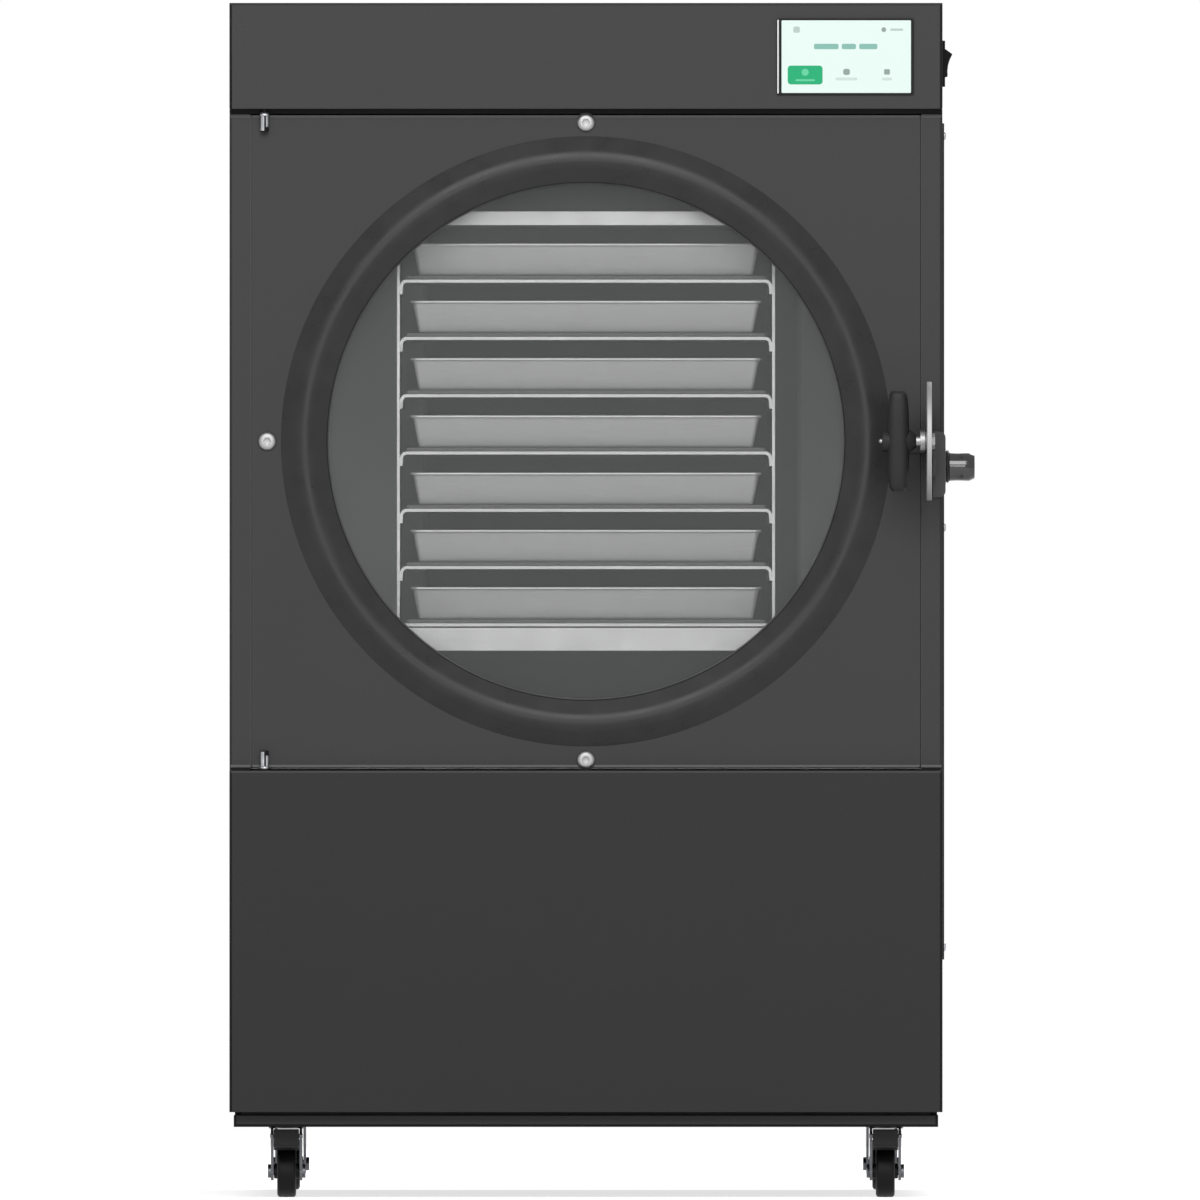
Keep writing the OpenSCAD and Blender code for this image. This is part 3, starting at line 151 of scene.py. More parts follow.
class Shader(Nodes):
    """A Principled material, with the textures that finishes are made of."""

    def __init__(self, colour, rough=0.5, metal=0.0, gloss=0.5):
        self.material = bpy.data.materials.new("finish")
        self.material.use_nodes = True
        self.material.diffuse_color = (*colour, 1)
        super().__init__(self.material.node_tree)
        self.shader = self.tree.nodes["Principled BSDF"]
        self.set("Base Color", (*colour, 1))
        self.set("Roughness", rough)
        self.set("Metallic", metal)
        self.set("Specular IOR Level", gloss)
        self.place = self.node("TexCoord")["Object"]

    def set(self, socket, value):
        """Gives a socket of the shader a value, or links an output to it."""
        self.feed(self.shader.inputs[socket], value)

    def moved(self, origin=(0, 0, 0), scale=(1, 1, 1)):
        """The place on the piece, seen from an origin and stretched."""
        shift = tuple(-o * s for o, s in zip(origin, scale))
        return self.node("Mapping", {"Vector": self.place, "Location": shift, "Scale": scale})["Vector"]

    def noise(self, grain, detail=2.0, stretch=(1, 1, 1)):
        """Noise with a grain in metres; a small stretch number draws it out along that axis."""
        inputs = {"Vector": self.moved(scale=stretch), "Scale": 1 / grain, "Detail": detail}
        return self.node("TexNoise", inputs)["Fac"]

    def cells(self, grain):
        """Distance in a pattern of cells with a grain in metres."""
        return self.node("TexVoronoi", {"Vector": self.place, "Scale": 1 / grain})["Distance"]

    def bricks(self, count, joint, first, second, mortar):
        """Colours of a fine brick pattern, with a number of bricks to the metre."""
        inputs = {"Vector": self.moved(scale=(count, count, count)), "Mortar Size": joint,
                  "Color1": (*first, 1), "Color2": (*second, 1), "Mortar": (*mortar, 1)}
        return self.node("TexBrick", inputs)["Color"]

    def between(self, factor, low, high, start=0.3, end=0.7):
        """Maps a factor onto a range of values."""
        inputs = {"Value": factor, "From Min": start, "From Max": end, "To Min": low, "To Max": high}
        return self.node("MapRange", inputs)["Result"]

    def blend(self, factor, first, second, start=0.3, end=0.7):
        """Colour that runs from the first to the second as the factor rises."""
        mixed = self.node("ValToRGB", {"Fac": factor})["Color"]
        stops = mixed.node.color_ramp.elements
        for stop, place, colour in zip(stops, (start, end), (first, second)):
            stop.position = place
            stop.color = (*colour, 1)
        return mixed

    def bump(self, height, depth, strength):
        inputs = {"Height": height, "Distance": depth, "Strength": strength}
        self.set("Normal", self.node("Bump", inputs)["Normal"])

    def mottle(self, grain, dark, light, rough=None):
        """Slow change of colour, and of roughness if a range is given."""
        cloud = self.noise(grain, 3)
        self.set("Base Color", self.blend(cloud, dark, light))
        if rough:
            self.set("Roughness", self.between(cloud, *rough))


def powder_coat(level):
    """Dark powder coat: fine dimples, faint clouds and a dull sheen."""
    paint = Shader(tone(level), rough=0.6, gloss=0.12)
    paint.mottle(90 * MM, tone(level - 1.5), tone(level + 1.5), rough=(0.55, 0.65))
    paint.bump(paint.noise(0.9 * MM), 0.12 * MM, 0.55)
    return paint.material


def moulded(level, rough=0.45, grain=0.6 * MM, depth=0.04 * MM, gloss=0.35):
    """Moulded plastic or rubber with a fine spark-eroded grain."""
    plastic = Shader(tone(level), rough=rough, gloss=gloss)
    plastic.mottle(25 * MM, tone(level - 3), tone(level + 3), rough=(rough - 0.06, rough + 0.06))
    plastic.bump(plastic.cells(grain), depth, 0.4)
    return plastic.material


def brushed(level, stretch, rough, metal=1.0):
    """Steel brushed in one direction: long fine scratches and cloudy reflections."""
    steel = Shader(tone(level), rough=rough, metal=metal)
    scratch = steel.noise(0.35 * MM, 3, stretch)
    steel.set("Base Color", steel.blend(scratch, tone(level - 10), tone(level + 8)))
    steel.set("Roughness", steel.between(steel.noise(30 * MM), rough - 0.05, rough + 0.08))
    steel.bump(scratch, 0.03 * MM, 0.5)
    return steel.material


def chamber_steel_with_painted_shade(behind, beside, centre, half):
    """Satin steel of the chamber, painted darker behind the rack than beside it: painted shade of the
    rack on the back wall.
    """
    steel = Shader(tone(beside), rough=0.5, metal=0.2)
    across = steel.node("SeparateXYZ", {"Vector": steel.moved(centre)})["X"]
    across = steel.node("Math", {0: across}, operation="ABSOLUTE")["Value"]
    share = steel.between(across, 0.0, 1.0, half - 3 * MM, half + 3 * MM)
    steel.set("Base Color", steel.blend(share, tone(behind), tone(beside), 0.0, 1.0))
    steel.set("Roughness", steel.between(steel.noise(60 * MM), 0.46, 0.56))
    steel.bump(steel.noise(0.35 * MM, 3, (0.02, 1, 0.02)), 0.03 * MM, 0.5)
    return steel.material


def turned(level, centre, axis, rough):
    """Steel turned on a lathe: fine grooves round an axis."""
    steel = Shader(tone(level), rough=rough, metal=1.0)
    flat = tuple(0.0 if a == axis else 1.0 for a in "XYZ")
    radius = steel.node("VectorMath", {0: steel.moved(centre, flat)}, operation="LENGTH")["Value"]
    grooves_per_metre = 9000.0
    rings = steel.node("Math", {0: radius, 1: grooves_per_metre}, operation="MULTIPLY")["Value"]
    inputs = {"W": rings, "Scale": 1.0, "Detail": 2.0}
    groove = steel.node("TexNoise", inputs, noise_dimensions="1D")["Fac"]
    steel.set("Base Color", steel.blend(groove, tone(level - 12), tone(level + 8)))
    steel.bump(groove, 0.02 * MM, 0.5)
    return steel.material


def zinc_plate(level):
    """Zinc-plated steel: bright, slightly blue, with a cloudy passivated film."""
    steel = Shader(tone(level), rough=0.35, metal=0.9)
    dark, light = tone(level - 14, level - 12, level - 8), tone(level + 8, level + 8, level + 12)
    steel.mottle(6 * MM, dark, light, rough=(0.28, 0.45))
    steel.bump(steel.noise(0.5 * MM, 3), 0.02 * MM, 0.5)
    return steel.material


def galvanised(level):
    """Galvanised sheet with its spangle of flat crystals."""
    steel = Shader(tone(level), rough=0.42, metal=0.85)
    crystals = steel.node("TexVoronoi", {"Vector": steel.place, "Scale": 1 / (14 * MM)})["Color"]
    shade = steel.node("SeparateColor", {"Color": crystals})["Red"]
    steel.set("Base Color", steel.blend(shade, tone(level - 12), tone(level + 12), 0.0, 1.0))
    steel.set("Roughness", steel.between(shade, 0.36, 0.5, 0.0, 1.0))
    return steel.material


def chrome(level):
    """Polished chrome with the faintest polishing haze."""
    metal = Shader(tone(level), rough=0.08, metal=1.0)
    metal.set("Roughness", metal.between(metal.noise(4 * MM, 4), 0.05, 0.16))
    metal.bump(metal.noise(1.5 * MM), 0.005 * MM, 0.4)
    return metal.material


def painted_gloss(colour, darker, rough=0.25):
    """Smooth enamel or dipped lacquer with soft unevenness."""
    enamel = Shader(colour, rough=rough)
    enamel.mottle(12 * MM, darker, colour, rough=(rough - 0.05, rough + 0.1))
    enamel.bump(enamel.noise(3 * MM), 0.04 * MM, 0.35)
    return enamel.material


def copper():
    """Copper tube with brown tarnish in patches."""
    metal = Shader(tone(200, 120, 90), rough=0.3, metal=1.0)
    metal.mottle(20 * MM, tone(120, 70, 52), tone(214, 134, 102), rough=(0.22, 0.45))
    return metal.material


def foam():
    """Moulded insulation foam with a pocked skin."""
    skin = Shader(tone(222, 208, 160), rough=0.85)
    skin.mottle(30 * MM, tone(205, 188, 138), tone(230, 218, 176))
    skin.bump(skin.cells(4 * MM), 0.6 * MM, 0.6)
    return skin.material


def circuit_board():
    """Green solder mask over fine copper traces."""
    board = Shader(tone(24, 84, 52), rough=0.35)
    traces = board.bricks(90, 0.04, tone(22, 80, 50), tone(28, 92, 58), tone(70, 130, 80))
    board.set("Base Color", traces)
    return board.material


def clear_plate():
    """Clear acrylic: a faint milky tint and gloss over what stands behind it."""
    plate = Shader(tone(114, 116, 115.5), rough=0.08, gloss=0.1)
    plate.set("Roughness", plate.between(plate.noise(60 * MM), 0.05, 0.12))
    plate.set("Alpha", 0.22)
    return plate.material


def clear_hose():
    """Milky silicone tube."""
    hose = Shader(tone(214, 218, 214), rough=0.25)
    hose.mottle(8 * MM, tone(204, 208, 200), tone(222, 226, 222))
    return hose.material


def lit(colour):
    """Part of a lit display: fine cells that glow with most of its colour."""
    share, mortar_share = 0.42, 0.93
    cell = tuple(c * share for c in colour)
    panel = Shader(cell, rough=0.3, gloss=0.1)
    shown = panel.bricks(1200, 0.02, cell, cell, [c * mortar_share for c in cell])
    panel.set("Base Color", shown)
    panel.set("Emission Color", shown)
    panel.set("Emission Strength", 1.2)
    return panel.material


CHAMBER = middle("vacuum_chamber")
RING = middle("window_ring")
SHAFT = middle("latch_shaft")
MATERIALS = {
    "cabinet_paint": powder_coat(62),
    "door_paint": powder_coat(62),
    "inner_black": powder_coat(16),
    "deck_steel": galvanised(165),
    "zinc_steel": zinc_plate(175),
    # The chamber steel is painted darker behind the rack: painted shade.
    "chamber_steel": chamber_steel_with_painted_shade(127, 214, CHAMBER, spread("shelf_rack").x / 2),
    "rack_steel": brushed(210, (1, 0.02, 1), rough=0.4, metal=0.6),
    "tray_steel": brushed(201, (0.02, 1, 1), rough=0.5, metal=0.35),
    "mat_rubber": moulded(118, rough=0.75, grain=1.2 * MM),
    "gasket_rubber": moulded(30, rough=0.6),
    "window_clear": clear_plate(),
    "ring_black": moulded(47, rough=0.32, grain=0.8 * MM, depth=0.01 * MM, gloss=0.17),
    "screw_steel": turned(150, RING, "Y", rough=0.5),
    "port_chrome": chrome(70),
    "latch_steel": turned(140, SHAFT, "X", rough=0.4),
    "handle_black": moulded(38, rough=0.5, grain=0.5 * MM, depth=0.02 * MM, gloss=0.15),
    "bezel_black": moulded(24, rough=0.5, gloss=0.12),
    "screen_glass": lit(tone(235, 252, 246)),
    "switch_black": moulded(18, rough=0.5, depth=0.02 * MM, gloss=0.1),
    "copper_tube": copper(),
    "foam": foam(),
    "board_green": circuit_board(),
    "compressor_black": painted_gloss(tone(34), tone(24)),
    "fin_aluminium": brushed(200, (1, 1, 0.02), rough=0.35),
    "motor_black": painted_gloss(tone(44), tone(34), rough=0.4),
    "guard_chrome": chrome(205),
    "fan_plastic": moulded(52, rough=0.5),
    "hose_clear": clear_hose(),
    "valve_brass": zinc_plate(175),
    "lever_red": painted_gloss(tone(178, 36, 30), tone(150, 26, 24), rough=0.35),
    "inlet_black": moulded(28),
    "wheel_rubber": moulded(14, rough=0.5, grain=0.9 * MM, depth=0.03 * MM, gloss=0.15),
    "pedal_black": moulded(26, rough=0.5, gloss=0.2),
    # Finishes that differ from the slot's own on a few pieces and edges. Several are painted light:
    # darker copies of the paint as painted shade, lighter copies as painted highlights, and pale or
    # dark strips and pads.
    "lower_panel_paint": powder_coat(49),
    "fold_shade": powder_coat(20),
    "fold_glint": powder_coat(80),
    "edge_glint": powder_coat(100),
    "panel_glint": powder_coat(68),
    "gap_lip": powder_coat(86),
    "fork_zinc": zinc_plate(110),
    "stem_zinc": zinc_plate(60),
    "cam_steel": turned(160, SHAFT, "X", rough=0.62),
    "lip_grey": moulded(80, rough=0.5, gloss=0.2),
    "pale_edge": moulded(212, gloss=0.1),
    "filter_foam": moulded(20, rough=0.9, grain=2.4 * MM, depth=0.5 * MM, gloss=0.05),
    "screen_green": lit(tone(34, 178, 120)),
    "screen_pale_green": lit(tone(104, 212, 164)),
    "screen_teal": lit(tone(140, 192, 180)),
    "screen_grey": lit(tone(150, 166, 162)),
    "screen_soft_grey": lit(tone(190, 207, 201)),
    "screen_faint": lit(tone(212, 228, 224)),
}
for name, material in MATERIALS.items():
    material.name = name


# ------------------------------------------------------------------ mesh tools

# Axis that each side lies on and the way it faces, and the radius of the wide folds.
SIDES = {"left": (0, -1), "right": (0, 1), "bottom": (2, -1), "top": (2, 1)}
FOLD = 2.6 * MM


def welded(node):
    """The mesh of a CAD node with its corners joined and its flat faces made whole."""
    form = bmesh.new()
    form.from_mesh(frame["nodes"][node].data)
    bmesh.ops.remove_doubles(form, verts=form.verts, dist=0.002 * MM)
    bmesh.ops.dissolve_limit(form, angle_limit=math.radians(0.5), verts=form.verts, edges=form.edges)
    return form


def bevelled(form, edges, width, segments):
    """Rounds some edges of a form."""
    bmesh.ops.bevel(form, geom=edges, offset=width, segments=segments, profile=0.5,
                    affect="EDGES", clamp_overlap=False)


def soften(form, width, shortest=4, angle=40):
    """Rounds the sharp edges longer than the shortest one; both lengths are in millimetres."""
    edges = [e for e in form.edges
             if len(e.link_faces) == 2 and e.calc_face_angle(0) > math.radians(angle)
             and e.calc_length() > shortest * MM]
    bevelled(form, edges, width * MM, 3)


def round_front(form, sides):
    """Rounds the outer edges of a folded part's front on the sides that are named."""
    low, high = limits(v.co for v in form.verts)
    edges = set()
    for axis, way in [SIDES[side] for side in sides]:
        limit = (high if way > 0 else low)[axis]
        edges.update(e for e in form.edges if all(
            abs(v.co.y - low.y) < 0.1 * MM and abs(v.co[axis] - limit) < 0.1 * MM for v in e.verts))
    bevelled(form, list(edges), FOLD, 4)


def finished(name, form, finish, crease):
    """Mesh from a form in one finish, smooth up to edges sharper than the crease angle."""
    bmesh.ops.recalc_face_normals(form, faces=form.faces)
    mesh = bpy.data.meshes.new(name)
    form.to_mesh(mesh)
    form.free()
    mesh.materials.append(MATERIALS[finish])
    mesh.shade_smooth()
    mesh.set_sharp_from_angle(angle=math.radians(crease))
    return mesh


def repaint(mesh, finish, chosen):
    """Gives the faces that are chosen another finish."""
    mesh.materials.append(MATERIALS[finish])
    for face in mesh.polygons:
        if chosen(face):
            face.material_index = len(mesh.materials) - 1


def placed(name, data, at=(0, 0, 0)):
    """Puts a new object into the scene."""
    new = bpy.data.objects.new(name, data)
    bpy.context.scene.collection.objects.link(new)
    new.location = at
    return new


def add_mesh(name, mesh, body, replaces=None, at=(0, 0, 0)):
    """Makes a piece of the machine from a mesh, and lets it ride on a CAD body."""
    piece = placed(name, mesh, at)
    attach(piece, body)
    if replaces is not None:
        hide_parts(*replaces)
    return piece


def add_piece(name, form, body, slot, replaces=None, finish=None, crease=35):
    """Makes a piece from a form, in the finish named or else in its slot's own."""
    return add_mesh(name, finished(name, form, finish or slot, crease), body, replaces)


def softened_node(node, width, shortest=4, angle=40, name=None, slot=None, finish=None, folds=None):
    """A piece that repeats a CAD node with rounded edges, and with wider folds in the
    finishes named for their sides, which are painted shade and painted highlights. Lengths are in
    millimetres."""
    form = welded(node)
    folds = folds or {}
    if folds:
        round_front(form, folds)
    if width:
        soften(form, width, shortest, angle)
    name, slot = name or node + "_finished", slot or SLOT_OF[node]
    piece = add_piece(name, form, BODY_OF[node], slot, (node,), finish, crease=40)
    piece.modifiers.new("even_normals", "WEIGHTED_NORMAL").keep_sharp = True
    low, high = limits(v.co for v in piece.data.vertices)
    reach = FOLD + MM
    for side, fold_finish in folds.items():
        axis, way = SIDES[side]
        limit = (high if way > 0 else low)[axis]
        repaint(piece.data, fold_finish, lambda face: (
            abs(face.center[axis] - limit) < reach and face.center.y < low.y + reach
            and way * face.normal[axis] > 0.1 and face.normal.y < -0.1))
    return piece


def bridge(form, first, second):
    """Faces between two closed rings; a ring of one point makes a fan."""
    count = max(len(first), len(second))
    for i in range(count):
        j = (i + 1) % count
        if len(first) == 1:
            form.faces.new((first[0], second[j], second[i]))
        elif len(second) == 1:
            form.faces.new((first[i], first[j], second[0]))
        else:
            form.faces.new((first[i], first[j], second[j], second[i]))


def loft(form, rings, closed=False):
    """Skin over a row of rings, closed to a loop or with flat ends; an end may be one point."""
    made = [[form.verts.new(p) for p in points] for points in rings]
    for first, second in zip(made, made[1:] + (made[:1] if closed else [])):
        bridge(form, first, second)
    for end in [] if closed else (made[0], made[-1]):
        if len(end) > 1:
            form.faces.new(end)


def circle(radius, height, steps):
    """Points on a circle round the Z axis."""
    turns = [2 * math.pi * i / steps for i in range(steps)]
    return [Vector((radius * math.cos(a), radius * math.sin(a), height)) for a in turns]


def arc(centre, radius, start, end, steps):
    """Points on an arc in a plane, with angles in degrees."""
    angles = [math.radians(start + (end - start) * i / steps) for i in range(steps + 1)]
    return [(centre[0] + radius * math.cos(a), centre[1] + radius * math.sin(a)) for a in angles]


def rounded(width, height, radius, steps=5):
    """Outline of a rectangle with round corners, round the origin."""
    x, y = width / 2 - radius, height / 2 - radius
    points = []
    for corner, (sx, sy) in enumerate(((1, 1), (-1, 1), (-1, -1), (1, -1))):
        points += arc((sx * x, sy * y), radius, 90 * corner, 90 * corner + 90, steps)
    return points


def lathe(form, profile, at, axis, steps=64, closed=True):
    """Turned form from points (radius, place along the axis) in millimetres."""
    place = Matrix.Translation(at) @ TURN[axis]
    rings = []
    for radius, height in profile:
        points = circle(radius * MM, height * MM, steps if radius else 1)
        rings.append([place @ p for p in points])
    loft(form, rings, closed)


def block(form, low, high):
    """Block between two corners."""
    corners = ((low[0], low[1]), (high[0], low[1]), (high[0], high[1]), (low[0], high[1]))
    loft(form, [[Vector((x, y, z)) for x, y in corners] for z in (low[2], high[2])])


def plate(form, outline, at, thick):
    """Plate whose outline runs right and up as seen from the front, and whose depth runs inwards."""
    loft(form, [[at + Vector((x, depth, y)) for x, y in outline] for depth in (0, thick)])


def tube(form, path, radius, closed=False):
    """Round wire along a path of points."""
    count, rings, side = len(path), [], None
    for i, point in enumerate(path):
        before = path[i - 1] if closed or i else path[0]
        after = path[(i + 1) % count] if closed or i < count - 1 else path[-1]
        way = (after - before).normalized()
        side = side or way.orthogonal().normalized()
        side = (side - way * side.dot(way)).normalized()
        over = way.cross(side)
        rings.append([point + side * p.x + over * p.y for p in circle(radius, 0, 8)])
    loft(form, rings, closed)


def keyed_head(form, at, axis, radius, height, key, steps, way=1):
    """Button head with a hexagon socket; it stands from its seat up or down the axis."""
    place = Matrix.Translation(at) @ TURN[axis] @ Matrix.Rotation(0 if way > 0 else math.pi, 4, "X")
    shoulder, crown = height * 0.22, key * 1.25

    def hexagon(reach, z):
        points = circle(reach, z, steps)
        for i, point in enumerate(points):
            turn = 2 * math.pi * i / steps % (math.pi / 3)
            point.xy *= math.cos(math.pi / 6) / math.cos(turn - math.pi / 6)
        return points

    rings = [circle(radius, 0, steps), circle(radius, shoulder, steps)]
    for angle in [math.radians(t) for t in range(15, 91, 15)]:
        rings.append(circle(crown + (radius - crown) * math.cos(angle),
                            shoulder + (height - shoulder) * math.sin(angle), steps))
    rings += [hexagon(key * 1.06, height), hexagon(key, height - 0.25 * MM),
              hexagon(key, height * 0.35), [Vector((0, 0, height * 0.2))]]
    loft(form, [[place @ p for p in ring] for ring in rings])


# ------------------------------------------------------------------ CAD nodes

for name, node in frame["nodes"].items():
    node.data.materials.clear()
    node.data.materials.append(MATERIALS[SLOT_OF[name]])

# Sheet-metal and moulded parts that keep their CAD form, with the radius of their folds and,
# where they differ, the shortest edge that is rounded and the angle that counts as sharp.
for name, *rounding in (
        ("header_floor", 0.6), ("service_panel", 0.6), ("rear_panel", 0.6),
        ("front_bulkhead", 0.6), ("mid_deck", 0.6), ("shelf_rack", 0.5), ("heater_mats", 0.8),
        ("window_plate", 0.5), ("display_bezel", 0.5), ("switch_body", 0.6), ("power_inlet", 0.6),
        ("drain_lever", 0.7, 1, 50), ("compressor", 0.8, 4, 50), ("control_unit", 0.5, 4, 50),
        ("fan_motor", 0.6, 4, 50), ("brake_pedal_1", 0.7, 2, 30), ("brake_pedal_2", 0.7, 2, 30)):
    softened_node(name, *rounding)

# Folded sheet parts at the front, and the finish on the folds of their sides: painted shade on the
# sides, the header's top and the base's bottom, and a painted highlight on the lower panel's top.
SHADED = {"left": "fold_shade", "right": "fold_shade"}
softened_node("header_cover", 0.8, folds={**SHADED, "top": "lower_panel_paint"})
softened_node("side_panel_left", 0.25, folds={"left": "lower_panel_paint"})
softened_node("side_panel_right", 0.25, folds={"right": "lower_panel_paint"})
softened_node("base_plate", 0.7, folds={**SHADED, "bottom": "fold_shade"})
# The lower panel is in a darker copy of the cabinet paint: painted shade, darker towards the bottom.
lower_front = softened_node("lower_front_panel", 0.8, finish="lower_panel_paint",
                            folds={**SHADED, "top": "panel_glint"})
# The upper half of its top fold is painted dark: painted shade of the seam.
shade_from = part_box("lower_front_panel")[1].z - 0.8 * MM
repaint(lower_front.data, "fold_shade", lambda face: (
    face.center.z > shade_from and face.normal.y < -0.1 and face.normal.z > 0.1))
# The keeper bracket is in a lighter copy of the cabinet paint: painted light.
softened_node("keeper_bracket", 0.5, 1, 50, slot="cabinet_paint", finish="fold_glint")
softened_node("caster_stems", 0, finish="stem_zinc")
for number in range(1, 5):
    softened_node("caster_fork_%d" % number, 0, finish="fork_zinc")

# Round parts that keep their CAD form and are only shaded smooth.
for name in ("vacuum_chamber", "chamber_gasket", "chamber_insulation", "drain_tube", "latch_shaft"):
    softened_node(name, 0)


# ------------------------------------------------------------------ door

def window_trim():
    """Moulding round the window: two flat slopes that run into a round crest, and a lip inside, paler
    than the rubber as a painted highlight where the lip also catches the lamps.
    """
    low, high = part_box("window_ring")
    outer, deep = (high.x - low.x) / 2 / MM, (high.y - low.y) / MM
    inner = min(math.hypot(p.x - RING.x, p.z - RING.z) for p in points_of("window_ring")) / MM
    half, centre = (outer - inner) / 2, (outer + inner) / 2
    crest, tilt, lip, wall, steps = 9.5, math.radians(30), 0.8, 5, 24
    bend = crest / math.sin(tilt)
    crest_drop = bend * (1 - math.cos(tilt))
    back = (half - crest) * math.tan(tilt) + crest_drop
    profile = [(inner, deep), (inner, back - lip), (inner + 0.3, back - 1.4 * lip)]
    for i in range(-steps, steps + 1):
        across = (half - lip) * i / steps
        if abs(across) < crest:
            drop = bend - math.sqrt(bend ** 2 - across ** 2)
        else:
            drop = crest_drop + (abs(across) - crest) * math.tan(tilt)
        profile.append((centre + across, drop))
    profile += [(outer, back), (outer - 1, back + 0.1), (inner + wall, back + 0.1),
                (inner + wall, deep)]
    at = Vector((RING.x, low.y, RING.z))
    trim = bmesh.new()
    lathe(trim, profile, at, "Y", steps=192)
    add_piece("window_trim", trim, "door", "ring_black", ("window_ring",), crease=50)
    edge, start, seat = 1.3, back + 1, inner - 0.02
    step = bmesh.new()
    lathe(step, [(seat, start), (inner - edge, start + edge), (inner - edge, start + 2 * edge),
                 (seat, start + 2 * edge)], at, "Y", steps=192)
    add_piece("window_lip", step, "door", "gasket_rubber", finish="lip_grey")


def window_bolts():
    """Button heads on thin dark washers, whose dark ring round each head is a painted shadow."""
    bolts, washers = bmesh.new(), bmesh.new()
    shank, head, key, ease = 2.5, 3.8, 3.6, 0.4
    for low, high in pieces_of("window_screws"):
        radius = (high.x - low.x) / 2 / MM + 0.5
        seat = (low + high) / 2
        seat.y = low.y + head * MM
        end = (high.y - seat.y) / MM
        lathe(washers, [(shank, -0.35), (shank, -0.05), (radius + 1, -0.05), (radius + 1, -0.35)],
              seat, "Y", steps=36)
        keyed_head(bolts, seat, "Y", radius * MM, head * MM, key * MM, steps=36, way=-1)
        lathe(bolts, [(0, 0), (shank, 0), (shank, end - ease), (shank - ease, end), (0, end)],
              seat, "Y", steps=24, closed=False)
    add_piece("window_shadow_washers", washers, "door", "gasket_rubber", crease=30)
    add_piece("window_bolts", bolts, "door", "screw_steel", ("window_screws",))


def painted_door():
    """The door pan; its hinge knuckles are painted black under the rolled barrels, a painted shade that
    shows dark through the barrels' open seam.
    """
    pan = softened_node("door_panel", 0.3, name="door_pan")
    pin, front = middle("hinge_pins"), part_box("door_panel")[0].y
    repaint(pan.data, "inner_black", lambda face: (
        math.hypot(face.center.x - pin.x, face.center.y - pin.y) < 4.4 * MM
        and face.center.y < front + 6.5 * MM))


def painted_door_edges():
    """Painted highlights along the edges over and under the door, on it and beside it, and strips of
    painted shade in the seam below.
    """
    low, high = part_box("door_panel")
    left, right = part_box("side_panel_left"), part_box("side_panel_right")
    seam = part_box("lower_front_panel")[1].z
    face, tall, proud = left[0].y, 2.4 * MM, 0.12 * MM
    places = (("door", low.x + MM, high.x - MM), ("left", left[0].x + MM, left[1].x),
              ("right", right[0].x, right[1].x - MM))
    for row, start, end, finish, shown in (
            ("upper", high.z - tall, high.z, "fold_glint", places),
            ("lower", low.z, low.z + tall, "edge_glint", places),
            ("seam", seam, low.z, "inner_black", places[1:])):
        outline = ((face, start), (face - proud, start + proud),
                   (face - proud, end - proud), (face, end))
        for where, *ends in shown:
            form = bmesh.new()
            loft(form, [[Vector((x, y, z)) for y, z in outline] for x in ends])
            body = "door" if where == "door" else "cabinet"
            add_piece("edge_%s_%s" % (row, where), form, body, body + "_paint",
                      finish=finish, crease=30)


def base_gap_shades():
    """Dark strips in the gap over the base plate's left and right edges: painted shade that keeps the
    gap dark at the corners.
    """
    low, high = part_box("base_plate")
    near, far, inset = 1 * MM, 7.8 * MM, 8 * MM
    for name, start, end in (("left", low.x + near, low.x + far),
                             ("right", high.x - far, high.x - near)):
        form = bmesh.new()
        block(form, (start, low.y + inset, high.z - 3.2 * MM),
              (end, high.y - inset, high.z - 0.1 * MM))
        add_piece("base_gap_shade_" + name, form, "cabinet", "gasket_rubber",
                  finish="inner_black", crease=30)


def edge_strips():
    """Thin lips in the narrow gaps beside the door, just behind its face, paler than the cabinet paint:
    painted light that lifts the gaps' shade.
    """
    left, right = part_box("side_panel_left"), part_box("side_panel_right")
    door_low, door_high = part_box("door_panel")
    front, back = left[0].y + 0.9 * MM, left[0].y + 1.9 * MM
    form = bmesh.new()
    for start, end in ((left[1].x, door_low.x - 0.15 * MM), (door_high.x + 0.42 * MM, right[0].x)):
        block(form, (start, front, door_low.z), (end, back, door_high.z))
    add_piece("door_gap_lips", form, "cabinet", "cabinet_paint", finish="gap_lip", crease=30)


